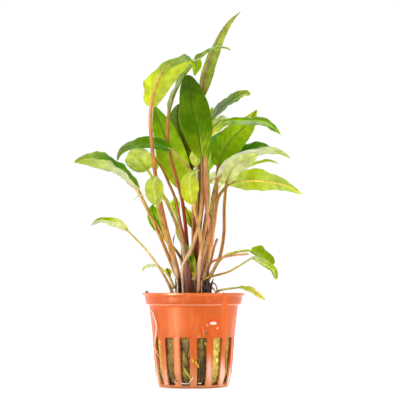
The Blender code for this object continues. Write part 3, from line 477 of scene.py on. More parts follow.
def wool_tint(angle, up):
    """Colour of the wool by the angle from the front, in radians, and the height."""
    turn = math.degrees(angle) % 360
    turn = turn - 360 if turn > 180 else turn
    nearest = min(WOOL_TINTS, key=lambda slot: abs(slot - turn))
    tone = WOOL_TINTS[nearest] if abs(nearest - turn) < TINT_REACH else PLAIN_WOOL
    patch = noise.noise(Vector((math.cos(angle) * 5, math.sin(angle) * 5, up * 0.22)))
    damp = max(0.0, patch * 1.3 + 0.08) + max(0.0, (DAMP_HEIGHT - up) / DAMP_HEIGHT) * 0.25
    dark = damp * (0.45 if nearest in BRIGHT_SLOTS else 0.9)
    if up > WOOL_TOP:
        dark += 0.35
    return Vector(paint(*tone)).lerp(Vector(paint(*WET_WOOL)), min(dark, 0.85))


def wool_skin(angle, share):
    """A point on the wool, in mm: the angle is from the front, the share runs from below to the top."""
    up, radius = between(WOOL_OUTLINE, share)
    x, y = math.cos(FRONT + angle), math.sin(FRONT + angle)
    lump = noise.fractal(Vector((x * radius, y * radius, up)) * 0.35, 0.8, 2.1, 4) * 0.42
    in_slots = max(0.0, -math.cos(SLOT_COUNT * angle)) * WOOL_SWELL if 2 < up < SLOT_TOP else 0.0
    radius = max(radius + (in_slots + lump * 0.55 if up < WOOL_SHOULDER else 0.0), 0.0)
    rise = lump * 1.3 if up > WOOL_SHOULDER else 0.0
    return Vector((x * radius, y * radius, up + rise))


def matted_wool():
    made = Finish("matted_wool")
    fibres = made.noise(1100.0, 4.0, made.stretched(0.75), rough=0.7, distortion=2.0)
    shade = made.ranged(fibres, 0.3, 0.7, 0.3, 1.65)
    depth = made.ranged(made.noise(420.0, 4.0), 0.34, 0.62, 0.42, 1.3)
    colour = made.scaled(made.attribute("tint"), made.maths("MULTIPLY", shade, depth))
    return made.done(made.solid(colour, 0.9, 0.2, {"Normal": made.bump(fibres, 0.9, 0.0004)}))


def tinted_mesh():
    """An empty mesh, and its layer for a colour at each vertex."""
    bm = bmesh.new()
    return bm, bm.verts.layers.float_color.new("tint")


def wrapped_grid(bm, columns, rows):
    """A grid's vertices, each with an angle round an axis and a share of the way up. The seam is doubled."""
    grid = bmesh.ops.create_grid(bm, x_segments=columns, y_segments=rows, size=1)["verts"]
    for k, vert in enumerate(grid):
        row, column = divmod(k, columns + 1)
        yield vert, math.tau * (column % columns) / columns, row / rows


bm, tints = tinted_mesh()
for vert, angle, share in wrapped_grid(bm, WOOL_COLUMNS, WOOL_ROWS):
    skin = wool_skin(angle, share)
    vert.co = skin * MM
    vert[tints] = (*wool_tint(angle, skin.z), 1)
bmesh.ops.remove_doubles(bm, verts=bm.verts, dist=1e-7)
bmesh.ops.recalc_face_normals(bm, faces=bm.faces)
shown("wool_plug", bm, [matted_wool()], "rock_wool", "rock_wool")


def strands(bm, rods, sides, tints):
    """Adds closed round bodies along routes in mm, each (route, radii, colours, flatness).

    One grid is wrapped round all of them in turn, cut between them, and its open ends are filled.
    """
    rows = sum(len(rod[0]) for rod in rods)
    old_faces = len(bm.faces)
    grid = bmesh.ops.create_grid(bm, x_segments=sides, y_segments=rows - 1, size=1)["verts"]
    bm.faces.ensure_lookup_table()
    skin = bm.faces[old_faces:]
    joining = []
    first = 0
    for route, radii, colours, flat in rods:
        last = len(route) - 1
        side = (route[1] - route[0]).orthogonal().normalized()
        for step, centre in enumerate(route):
            forward = (route[min(step + 1, last)] - route[max(step - 1, 0)]).normalized()
            side = (side - forward * side.dot(forward)).normalized()
            up = forward.cross(side)
            for column in range(sides + 1):
                turn = math.tau * (column % sides) / sides
                vert = grid[(first + step) * (sides + 1) + column]
                reach = side * (math.cos(turn) * radii[step]) + up * (math.sin(turn) * radii[step] * flat)
                vert.co = (centre + reach) * MM
                vert[tints] = (*colours[step], 1)
        first += len(route)
        joining += skin[(first - 1) * sides:first * sides]
    bmesh.ops.delete(bm, geom=joining, context="FACES")
    bmesh.ops.remove_doubles(bm, verts=[v for v in grid if v.is_valid], dist=1e-8)
    bmesh.ops.holes_fill(bm, edges=[e for e in bm.edges if e.is_boundary], sides=sides)
    bmesh.ops.recalc_face_normals(bm, faces=bm.faces)


def shown_strands(name, rods, sides, finish, slot, *nodes):
    """Closed round bodies as one piece."""
    bm, tints = tinted_mesh()
    strands(bm, rods, sides, tints)
    shown(name, bm, [finish], slot, *nodes)


def dry_fibre():
    made = Finish("wool_fibre")
    level = made.ranged(made.noise(1200.0, 2.0), 0.3, 0.7, 0.7, 1.25)
    return made.done(made.solid(made.scaled(made.attribute("tint"), level), 0.6, 0.3))


chance = random.Random(4)
fibres = []
for _ in range(FIBRE_COUNT):
    angle = chance.uniform(0, math.tau)
    share = chance.uniform(0.22, 0.99)
    turn = chance.uniform(-0.16, 0.16)
    climb = chance.uniform(-0.05, 0.05)
    bend = chance.uniform(-0.05, 0.05)
    lift = chance.uniform(0.02, 0.3)
    route = []
    for step in range(FIBRE_STEPS + 1):
        u = step / FIBRE_STEPS
        arch = math.sin(u * math.pi)
        point = wool_skin(angle + turn * u + bend * arch, min(share + climb * u, 1.0))
        out = outward(point) if point.z < 43.5 else Vector((0, 0, 1))
        route.append(point + out * (lift * arch))
    thick = chance.uniform(0.05, 0.13)
    tone = Vector(paint(*chance.choice(FIBRE_PAINTS)))
    fibres.append((route, [thick] * len(route), [tone] * len(route), 1.0))
shown_strands("wool_fibres", fibres, 3, dry_fibre(), "rock_wool")


# Crown and roots. The leaves rise from one short brown rootstock in the wool, wrapped in the papery
# sheaths of old stalks. Dark roots hang over its right side, and pale ones have grown out of the pot.
FAN = 0.55
FAN_FROM = 59
FAN_TO = 121
CROWN_CENTRE = (-0.4, 2.4)
CROWN_OUTLINE = [(43.6, 8.6, 10.2), (45.2, 8.9, 10.6), (47.0, 8.8, 10.4), (49.0, 8.3, 9.9), (50.6, 7.4, 9.2),
                 (51.8, 5.8, 7.6), (52.4, 3.2, 4.6), (52.6, 0.0, 0.0)]
CROWN_COLUMNS = 120
CROWN_ROWS = 42
CROWN_FLUTES = 19


def seen(place):
    """The point, in mm, that the front view shows at (across, up), taken back along the line of sight."""
    across, up, depth = place
    back = depth * (1 + FAN * min(1.0, max(0.0, (up - FAN_FROM) / (FAN_TO - FAN_FROM))))
    spread = 1 - back / EYE[1]
    return Vector((EYE[0] + (across - EYE[0]) * spread, back, EYE[2] + (up - EYE[2]) * spread))


def smooth_route(points, steps):
    """Points evenly spaced along a smooth curve through the given ones."""
    ends = [points[0] * 2 - points[1]] + points + [points[-1] * 2 - points[-2]]
    fine = []
    for a, b, c, d in zip(ends, ends[1:], ends[2:], ends[3:]):
        for k in range(16):
            t = k / 16
            fine.append(0.5 * (2 * b + (c - a) * t + (2 * a - 5 * b + 4 * c - d) * t * t
                               + (3 * b - a - 3 * c + d) * t ** 3))
    fine.append(points[-1])
    lengths = [0.0]
    for p, q in zip(fine, fine[1:]):
        lengths.append(lengths[-1] + (q - p).length)
    route = []
    k = 0
    for step in range(steps + 1):
        want = lengths[-1] * step / steps
        while k < len(fine) - 2 and lengths[k + 1] < want:
            k += 1
        share = (want - lengths[k]) / max(lengths[k + 1] - lengths[k], 1e-9)
        route.append(fine[k].lerp(fine[k + 1], min(1.0, max(0.0, share))))
    return route


def paints_along(paints, steps):
    """The colours of a route from its start to its end."""
    return [blend_paints(paints, step / steps) for step in range(steps + 1)]


def grown_skin(name, streak, rough, glow):
    """Plant skin coloured by the tint along it, with lengthwise streaks and flecks."""
    made = Finish(name)
    streaks = made.noise(900.0, 1.0, made.stretched(0.10))
    light = made.ranged(streaks, 0.3, 0.7, 1 - streak, 1 + streak)
    wide = made.ranged(made.noise(160.0, 3.0), 0.3, 0.7, 0.8, 1.16)
    colour = made.scaled(made.attribute("tint"), made.maths("MULTIPLY", light, wide))
    spots = made.ranged(made.noise(520.0, 1.0), 0.66, 0.76, 0.0, 0.4)
    spotted = made.blend(spots, colour, flat_paint(80, 40, 22))
    bump = made.bump(streaks, 0.3, 0.0002)
    surface = made.solid(spotted, rough, 0.16, {"Normal": bump})
    return made.done(made.lit_through(surface, glow, {"Color": spotted, "Normal": bump}))


bm, tints = tinted_mesh()
for vert, angle, share in wrapped_grid(bm, CROWN_COLUMNS, CROWN_ROWS):
    up, wide, deep = between(CROWN_OUTLINE, share)
    c, s = math.cos(angle), math.sin(angle)
    reach = (abs(c) ** 3 + abs(s) ** 3) ** (-1 / 3)
    flute = 1 - 0.09 * (0.5 + 0.5 * math.cos(angle * CROWN_FLUTES + up * 0.35))
    flute += 0.05 * noise.noise(Vector((c * 3, s * 3, up * 0.5)))
    vert.co = Vector((CROWN_CENTRE[0] + wide * reach * c * flute,
                      CROWN_CENTRE[1] + deep * reach * s * flute, up)) * MM
    tone = 0.5 + 0.5 * noise.noise(Vector((c * 4, s * 4, up * 0.3)))
    vert[tints] = (*blend_paints([(58, 32, 18), (112, 70, 40)], tone), 1)
bmesh.ops.remove_doubles(bm, verts=bm.verts, dist=1e-7)
bmesh.ops.holes_fill(bm, edges=[e for e in bm.edges if e.is_boundary], sides=CROWN_COLUMNS)
bmesh.ops.recalc_face_normals(bm, faces=bm.faces)
shown("rootstock", bm, [grown_skin("rootstock_bark", 0.45, 0.75, 0.02)], "crown", "crown")

# Old sheaths. Stalk bases that have lost their leaves stand round the crown as short flat husks, from
# dark brown to purple and straw, and frayed at the tip. Each is (route, radii, flatness, colours).
SHEATH_STEPS = 26
SHEATHS = [
    ([(-2.7, 46.0, -8.6), (-2.8, 52.0, -9.6), (-3.1, 60.0, -9.8), (-3.9, 67.5, -9.2)],
     [1.9, 2.1, 1.7, 0.0], 0.55, [(92, 52, 38), (112, 66, 56), (132, 82, 76)]),
    ([(-0.9, 46.0, -6.0), (-0.8, 53.0, -7.0), (-1.2, 62.0, -7.0), (-1.0, 69.0, -6.4)],
     [1.9, 1.7, 1.2, 0.0], 0.6, [(66, 40, 20), (98, 62, 32), (120, 84, 44)]),
    ([(-7.3, 46.0, -6.6), (-7.4, 51.0, -7.4), (-7.9, 56.0, -7.8), (-8.3, 60.6, -7.6)],
     [1.2, 1.2, 0.9, 0.0], 0.6, [(58, 32, 16), (76, 42, 22), (96, 58, 30)]),
    ([(2.6, 46.0, -5.6), (2.6, 53.0, -6.6), (2.9, 60.0, -6.8), (3.9, 68.0, -6.2)],
     [1.3, 1.3, 1.0, 0.0], 0.6, [(176, 124, 84), (206, 156, 120), (222, 176, 140)]),
    ([(4.4, 46.0, -4.4), (4.9, 53.0, -5.4), (6.1, 60.0, -5.8), (7.5, 65.6, -5.4)],
     [1.3, 1.2, 0.9, 0.0], 0.6, [(150, 104, 60), (196, 148, 104), (206, 166, 124)]),
    ([(-8.4, 46.0, 1.0), (-9.0, 52.0, 1.4), (-9.8, 58.0, 1.8)],
     [1.4, 1.2, 0.0], 0.6, [(60, 36, 20), (110, 72, 40)]),
    ([(-6.2, 46.0, 8.6), (-6.8, 53.0, 10.2), (-8.0, 61.0, 11.4)],
     [1.6, 1.3, 0.0], 0.6, [(72, 42, 22), (126, 84, 46)]),
    ([(-1.0, 46.0, 12.4), (-1.2, 54.0, 14.2), (-1.6, 63.0, 15.4)],
     [1.7, 1.5, 0.0], 0.55, [(80, 48, 30), (140, 96, 60)]),
    ([(5.0, 46.0, 11.2), (5.8, 53.0, 13.0), (7.4, 60.0, 14.6)],
     [1.5, 1.3, 0.0], 0.6, [(64, 38, 22), (116, 76, 44)]),
    ([(8.0, 46.0, 6.0), (9.0, 52.0, 6.6), (10.8, 58.0, 7.6)],
     [1.4, 1.2, 0.0], 0.6, [(70, 40, 20), (126, 86, 52)]),
    ([(-9.6, 57.6, -6.2), (-9.0, 56.2, -6.0), (-8.9, 54.8, -5.8)],
     [0.0, 0.5, 0.4], 0.8, [(176, 132, 84), (150, 100, 58)]),
    ([(-10.2, 73.6, -4.0), (-8.6, 70.6, -4.4), (-6.0, 66.6, -4.6)],
     [0.0, 0.55, 0.35], 0.7, [(96, 54, 26), (78, 42, 20)]),
    ([(-9.6, 82.2, -5.6), (-10.9, 77.6, -5.8), (-10.5, 74.2, -5.4)],
     [0.0, 0.4, 0.0], 0.7, [(108, 66, 34), (86, 48, 24)]),
    ([(9.0, 101.0, -4.4), (9.9, 98.8, -4.6), (10.5, 96.6, -4.4)],
     [0.0, 0.5, 0.4], 0.7, [(78, 52, 22), (110, 80, 30)]),
    ([(7.7, 92.8, -3.4), (8.7, 90.8, -3.6), (9.6, 88.9, -3.0)],
     [0.0, 0.45, 0.3], 0.7, [(92, 54, 28), (110, 66, 34)]),
]
husks = []
for number, (route, radii, flat, paints) in enumerate(SHEATHS):
    sizes = []
    for step in range(SHEATH_STEPS + 1):
        share = step / SHEATH_STEPS * (len(radii) - 1)
        k = min(int(share), len(radii) - 2)
        rough = 1 + 0.14 * noise.noise(Vector((number * 9.1, step * 0.5, 0)))
        sizes.append((radii[k] + (radii[k + 1] - radii[k]) * (share - k)) * rough)
    husks.append((smooth_route([seen(p) for p in route], SHEATH_STEPS), sizes,
                  paints_along(paints, SHEATH_STEPS), flat))
shown_strands("old_sheaths", husks, 14, grown_skin("dry_husk", 0.4, 0.6, 0.12), "crown")

# Roots at the crown. A tangle of dark roots hangs down at the right, two of them red-brown and curled
# over the rim, beside a golden stub. More stand out all round it. Each is (route, radius, colours).
ROOT_STEPS = 24
HANGING_ROOTS = 26
ROUND_ROOTS = 30
ROOTS = [
    ([(8.4, 54.0, -5.4), (10.8, 54.6, -6.6), (12.1, 52.9, -7.6), (12.4, 51.0, -8.2), (12.2, 47.0, -8.6)],
     0.36, [(120, 62, 40), (150, 84, 56), (110, 60, 36)]),
    ([(8.0, 53.8, -6.0), (10.4, 51.8, -7.8), (11.7, 50.0, -9.0), (13.4, 48.6, -10.2), (14.4, 46.0, -11.0)],
     0.34, [(110, 56, 34), (140, 78, 50), (100, 54, 32)]),
    ([(9.6, 51.8, -7.0), (8.6, 50.2, -7.8), (7.6, 47.0, -8.0)], 0.5, [(150, 104, 30), (120, 82, 20)]),
    ([(-8.8, 49.6, -6.0), (-10.4, 48.6, -8.0), (-12.6, 47.0, -10.0), (-14.0, 45.0, -11.0)],
     0.3, [(120, 80, 50), (150, 110, 70)]),
]


def toned(tone, *paints):
    """Colours made lighter or darker together."""
    return [tuple(c * tone for c in rgb) for rgb in paints]


chance = random.Random(9)
for _ in range(HANGING_ROOTS):
    x = chance.uniform(4.6, 8.4)
    depth = chance.uniform(-8.2, -1.5)
    top = chance.uniform(52.0, 58.6)
    drift = chance.uniform(-0.6, 2.4)
    tone = chance.uniform(0.7, 1.5)
    route = [(x * 0.8, top, depth + 1.5), (x + 0.4, top - 1.6, depth), (x + drift * 0.7, 51.0, depth - 0.8),
             (x + drift, 47.5, depth - 1.6), (x + drift * 1.3, 44.6, depth - 2.2)]
    ROOTS.append((route, chance.uniform(0.28, 0.6), toned(tone, (44, 24, 13), (58, 32, 18))))
for _ in range(ROUND_ROOTS):
    turn = chance.uniform(0, math.tau)
    c, s = math.cos(turn), math.sin(turn)
    wide = chance.uniform(1.15, 1.9)
    tone = chance.uniform(0.8, 1.5)
    middle = CROWN_CENTRE[1]
    route = [(8 * c, 50.5, middle + 9.5 * s), (9.4 * c, 48.6, middle + 11 * s),
             (9.5 * c * wide, 46.4, middle + 11 * s * wide * 0.9),
             (10 * c * wide, 44.4, middle + 11.4 * s * wide * 0.9)]
    ROOTS.append((route, chance.uniform(0.2, 0.42), toned(tone, (70, 42, 24), (104, 70, 40))))
root_skin = grown_skin("root_skin", 0.3, 0.5, 0.1)
rods = []
for number, (route, radius, paints) in enumerate(ROOTS):
    sizes = [radius * (1 + 0.25 * noise.noise(Vector((number * 5.7, step * 0.4, 1))))
             for step in range(ROOT_STEPS + 1)]
    rods.append((smooth_route([seen(p) for p in route], ROOT_STEPS), sizes,
                 paints_along(paints, ROOT_STEPS), 1.0))
shown_strands("crown_roots", rods, 8, root_skin, "root")

# White root on the wall. It has grown out under the rim, lies down the outside of the pot and ends in a
# thin tip, with a few hair roots on it, each (place along it, across, up).
WALL_ROOT_ROUTE = [(-23.1, 38.7), (-22.5, 39.7), (-21.4, 39.4), (-20.6, 36.8), (-19.4, 32), (-20.0, 26),
                   (-20.4, 21.6), (-19.2, 18), (-16.6, 14)]
WALL_ROOT_RADIUS = 0.45
WALL_ROOT_GAP = 0.4
WALL_ROOT_THICK = 0.37
WALL_ROOT_TAPER = 0.17
WALL_ROOT_STEPS = 80
WALL_ROOT_PAINTS = [(238, 196, 160), (248, 226, 196), (244, 214, 172), (236, 204, 140)]
HAIR_STEPS = 10
HAIR_RADII = [0.12] * 8 + [0.08, 0.05, 0.0]
HAIR_ROOTS = [(0.2, -1.0, -1.6), (0.42, 1.1, -1.4), (0.63, -0.8, -1.8), (0.8, 1.4, -0.6)]
HAIR_PAINT = (244, 222, 190)
places = []
for across, up in WALL_ROOT_ROUTE:
    reach = pot_radius(up) + WALL_ROOT_GAP + WALL_ROOT_RADIUS
    places.append(Vector((across, -math.sqrt(reach ** 2 - across ** 2), up)))
places = smooth_route(places, WALL_ROOT_STEPS)
sizes = []
for step in range(WALL_ROOT_STEPS + 1):
    u = step / WALL_ROOT_STEPS
    rough = 1 + 0.14 * noise.noise(Vector((step * 0.35, 3, 0)))
    sizes.append((WALL_ROOT_THICK - WALL_ROOT_TAPER * u ** 3) * rough * min(1, (1 - u) * 14 + 0.2)
                 * min(1, u * 20 + 0.4))
rods = [(places, sizes, paints_along(WALL_ROOT_PAINTS, WALL_ROOT_STEPS), 1.0)]
for start, across, up in HAIR_ROOTS:
    origin = places[int(start * WALL_ROOT_STEPS)]
    tip = origin + Vector((across, 0.25, up))
    bend = origin.lerp(tip, 0.5) + Vector((0.2, -0.1, 0.2))
    rods.append((smooth_route([origin, bend, tip], HAIR_STEPS), HAIR_RADII,
                 [Vector(paint(*HAIR_PAINT))] * len(HAIR_RADII), 1.0))
shown_strands("white_root", rods, 12, grown_skin("white_root_skin", 0.12, 0.4, 0.3), "root", "root_left")

# Roots, slivers and painted glints in the slots. Yellowed bits of leaf and root show in the gaps between the
# ribs, and a few lie over the ribs. Four near-white streaks at the slot bottoms are painted glints of light
# on wet wool. Each is (route, radius, how proud of the wall, colours).
BIT_STEPS = 18
DARK_BITS = 16
SLOT_BITS_AND_GLINTS = [
    ([(-19.4, 10.4), (-18.6, 8.6), (-16.0, 5.4)],
     0.35, -0.5, [(206, 196, 80), (190, 170, 60), (206, 120, 50)]),
    ([(-5.6, 10.2), (-4.0, 7.6), (-2.6, 5.6), (-0.9, 3.5)],
     0.4, 0.35, [(198, 196, 60), (214, 206, 90), (190, 170, 50)]),
    ([(0.0, 4.8), (-1.4, 3.0), (-3.1, 0.6)],
     0.26, 0.35, [(240, 222, 186), (246, 232, 206), (226, 200, 150)]),
    ([(-1.0, 14.4), (-0.4, 13.4), (0.2, 12.6)], 0.55, 0.35, [(226, 200, 50), (206, 170, 40)]),
    ([(1.0, 13.0), (1.8, 11.6), (2.9, 9.5)], 0.5, 0.2, [(226, 208, 70), (214, 180, 50)]),
    ([(-12.4, 9.0), (-10.6, 6.4), (-9.6, 3.6), (-8.0, 1.6)], 0.22, 0.1, [(50, 36, 20), (80, 60, 34)]),
    ([(-13.0, 5.0), (-11.6, 3.2), (-9.8, 2.2)], 0.25, 0.1, [(40, 28, 16), (60, 44, 26)]),
    # Painted glints: the next four near-white streaks stand for light caught by water at the slot bottoms.
    ([(-10.6, 2.4), (-9.4, 1.6), (-8.2, 1.9)], 0.2, 0.3, [(238, 228, 200), (244, 236, 214)]),
    ([(2.2, 1.9), (3.0, 1.3), (4.4, 1.7)], 0.26, 0.3, [(244, 240, 222), (240, 230, 200)]),
    ([(-6.6, 1.6), (-4.6, 1.2), (-2.6, 1.5)], 0.28, 0.3, [(246, 242, 228), (244, 238, 216)]),
    ([(-15.2, 2.6), (-14.4, 1.6), (-13.2, 1.4)], 0.24, 0.3, [(244, 238, 222), (240, 230, 206)]),
    ([(5.9, 23.2), (6.5, 22.2), (6.7, 21.0)], 0.35, 0.1, [(210, 190, 70), (190, 160, 50)]),
    ([(-3.0, 24.0), (-2.6, 20.0), (-3.4, 16.0), (-2.8, 12.0)], 0.3, -0.2, [(74, 60, 30), (60, 46, 22)]),
    ([(16.6, 22.0), (17.0, 15.0), (16.4, 8.0)], 0.4, -0.2, [(88, 60, 24), (60, 40, 18)]),
]
for _ in range(DARK_BITS):
    x = chance.uniform(3.0, 6.6)
    top = chance.uniform(8.0, 17.0)
    drop = chance.uniform(5.0, 13.0)
    tone = chance.uniform(0.6, 1.6)
    route = [(x, top), (x + chance.uniform(-0.9, 0.9), top - drop * 0.35),
             (x + chance.uniform(-1.2, 1.2), top - drop * 0.7),
             (x + chance.uniform(-1.4, 1.4), max(top - drop, 1.4))]
    SLOT_BITS_AND_GLINTS.append((route, chance.uniform(0.1, 0.26), -0.3, toned(tone, (50, 34, 20), (76, 52, 34))))
rods = []
for number, (route, radius, proud, paints) in enumerate(SLOT_BITS_AND_GLINTS):
    places = smooth_route([on_wall(across, up, proud) for across, up in route], BIT_STEPS)
    sizes = [radius * min(1.0, 4 * min(step, BIT_STEPS - step) / BIT_STEPS + 0.25)
             * (1 + 0.25 * noise.noise(Vector((number * 3.3, step * 0.6, 2))))
             for step in range(BIT_STEPS + 1)]
    rods.append((places, sizes, paints_along(paints, BIT_STEPS), 0.7))
shown_strands("slot_bits_and_glints", rods, 8, root_skin, "root")

# Bare stalks. Two leaves were cut off, and their brown stalks stick out at the right with a pale, cut end.
# Each is (route, radii at its foot and end, colours). FOOT is the height, just above the crown, at which
# the routes of most stalks start.
FOOT = 55.6
BARE_STEPS = 70
BARE_BOTTOM = 45.5
CUT_ROUNDING = 0.72
CUT_PAINT = (206, 176, 120)
BARE_STALKS = {
    "right": ([(7.6, FOOT, -2.6), (7.8, 62.3, -3.1), (9.6, 65.7, -2.8), (13, 67.3, -2.4), (19, 69.2, -2.8),
               (29.5, 70.2, -4)],
              (0.75, 0.6), [(96, 44, 30), (150, 84, 52), (204, 142, 96), (212, 160, 110)]),
    "middle": ([(6.2, FOOT, 4.4), (9.3, 66.8, 5.4), (10.4, 71.3, 5.6), (11.4, 75.1, 5.6), (12.8, 78.5, 5.8)],
               (0.8, 0.7), [(150, 84, 44), (196, 124, 76), (196, 128, 76), (190, 144, 90)]),
}
stalk_skin = grown_skin("stalk_skin", 0.26, 0.34, 0.18)
for side, (route, (foot, end), paints) in BARE_STALKS.items():
    route = [seen(p) for p in route]
    places = smooth_route([Vector((route[0].x, route[0].y, BARE_BOTTOM))] + route, BARE_STEPS)
    sizes = []
    for step in range(BARE_STEPS + 1):
        u = step / BARE_STEPS
        sizes.append((foot + (end - foot) * u) * (1 + 0.5 * max(0, 1 - u * 7))
                     * (1 + 0.05 * noise.noise(Vector((step * 0.3, 0, 5)))))
    colours = paints_along(paints, BARE_STEPS)
    sizes[-1] *= CUT_ROUNDING
    colours[-1] = Vector(paint(*CUT_PAINT))
    shown_strands("bare_stalk_" + side, [(places, sizes, colours, 1.0)], 14, stalk_skin, "cut_stalk",
                  "stalk_cut_" + side)

# Thread and specks. A pale green thread hangs from the stalks at the left, and two rusty specks mark the
# pale leaf in front.
THREAD_STEPS = 16
BITS = [([(-32.4, 98.7, -14.0), (-30.4, 100.6, -14.0), (-28.6, 101.5, -13.6), (-25.4, 101.4, -13.0)],
         0.24, [(176, 204, 140), (196, 214, 160), (170, 190, 120)]),
        ([(-22.3, 109.7, -23.2), (-21.9, 109.9, -23.2)], 0.42, [(196, 110, 50), (186, 96, 44)]),
        ([(-19.6, 105.9, -20.5), (-19.2, 105.7, -20.5)], 0.42, [(190, 104, 46), (196, 112, 54)])]
rods = []
for route, radius, paints in BITS:
    sizes = [radius * math.sin(math.pi * (0.06 + 0.88 * step / THREAD_STEPS)) ** 0.5
             for step in range(THREAD_STEPS + 1)]
    rods.append((smooth_route([seen(p) for p in route], THREAD_STEPS), sizes,
                 paints_along(paints, THREAD_STEPS), 1.0))
shown_strands("thread_and_specks", rods, 10, root_skin, "leaf_pale")


# Leaves. Each is a long stalk that runs out as the midrib of one thin blade, with a wavy margin, side
# veins that curve towards the tip and a paler, brighter underside. Light shines through the blades.
BLADE_ROWS = 76
HALF_COLUMNS = 12
RIB_PARTS = 400
STALK_ROWS = 90
RIB_ROWS = 60
STALK_SIDES = 14
MIDDLE_THICKNESS = 0.42
MARGIN_THICKNESS = 0.2
VEIN_SPACING = 5.2
VEIN_LEAN = 1.15
VEIN_CURVE = 0.9
SCALLOP_COUNT = 7.7
SCALLOP_START = 0.29
LEAST_HALF_WIDTH = 0.12
RAGGED = 0.035
QUILT_DEPTH = 0.1
GROOVE_DEPTH = 0.16
GROOVE_HALF_WIDTH = 0.7
CROWN_TOP = 45
SWELL_HEIGHT = 14
FOOT_SWELL = 0.38
RIB_TIP_RADIUS = 0.03
WIDTH_STOPS = (0.2, 0.4, 0.6, 0.8)
# A stalk that starts at FOOT goes on down into the crown: the share of its distance out, and the height.
BURIED_FOOT = [(0.93, 44.8), (0.97, 50.5)]


def vein_phase(along, off, half):
    """Counts the side veins passed at a place on a blade, which curve forward from the midrib."""
    share = min(off / max(half, 0.1), 1.0)
    return (along - off * VEIN_LEAN - off * share * VEIN_CURVE) / VEIN_SPACING


def leaf_blade_finish(name, rough, vein_lift, glow):
    """One face of a blade: its own tint, mottled, with side veins, a midrib and a light margin."""
    made = Finish(name)
    cloud = made.noise(75.0, 2.0, rough=0.6)
    blotch = made.noise(300.0, 1.0)
    turned = made.maths("ADD", made.attribute("vein_phase", "Fac"), made.ranged(cloud, 0.0, 1.0, -0.16, 0.16))
    wave = made.maths("COSINE", made.maths("MULTIPLY", turned, math.tau))
    fine_wave = made.maths("COSINE", made.maths("MULTIPLY", turned, math.tau * 4))
    main_veins = made.ranged(wave, 0.9, 1.0, 0.0, 1.0)
    veins = made.maths("MAXIMUM", main_veins, made.ranged(fine_wave, 0.6, 1.0, 0.0, 0.2))

    level = made.maths("MULTIPLY", made.ranged(cloud, 0.3, 0.7, 0.78, 1.2),
                       made.ranged(blotch, 0.3, 0.7, 0.88, 1.13))
    mottled = made.scaled(made.attribute("tint"), level)
    lighter = made.scaled(mottled, vein_lift)
    veined = made.blend(made.maths("MULTIPLY", veins, 0.5), mottled, lighter)
    edged = made.blend(made.ranged(made.attribute("edge", "Fac"), 0.93, 1.0, 0.0, 0.4), veined, lighter)
    middle = made.ranged(made.attribute("off_rib", "Fac"), 0.16, 0.55, 0.85, 0.0, "SMOOTHSTEP")
    ribbed = made.blend(middle, edged, made.attribute("rib_tint"))

    bump = made.bump(made.maths("ADD", blotch, made.maths("MULTIPLY", main_veins, -0.5)), 0.3, 0.00016)
    surface = made.solid(ribbed, rough, 0.1, {"Specular Tint": (0.8, 1.0, 0.25, 1), "Normal": bump})
    through = made.node("Gamma", {"Color": ribbed, "Gamma": 0.62})
    return made.done(made.lit_through(surface, glow, {"Color": through, "Normal": bump}))


def blade_width(widths, t, taper):
    """Half width of a blade, in mm, at the share t of its rib: round at the base, drawn out at the tip."""
    if t <= 0 or t >= 1:
        return 0.0

    def swell(u):
        return u ** 0.6 * (1 - u) ** taper

    ratios = [width / swell(u) for width, u in zip(widths, WIDTH_STOPS)]
    place = min(max((t - 0.2) / 0.2, 0.0), 2.999)
    k = int(place)
    share = place - k
    share = share * share * (3 - 2 * share)
    return (ratios[k] * (1 - share) + ratios[k + 1] * share) * swell(t)


def turned_face(faces, t):
    """The way a blade's upper face looks at the share t of its rib."""
    place = min(t, 0.9999) * (len(faces) - 1)
    k = int(place)
    return faces[k].lerp(faces[min(k + 1, len(faces) - 1)], place - k)


def heading(route, i):
    """The way a route runs at its point i."""
    return (route[min(i + 1, len(route) - 1)] - route[max(i - 1, 0)]).normalized()


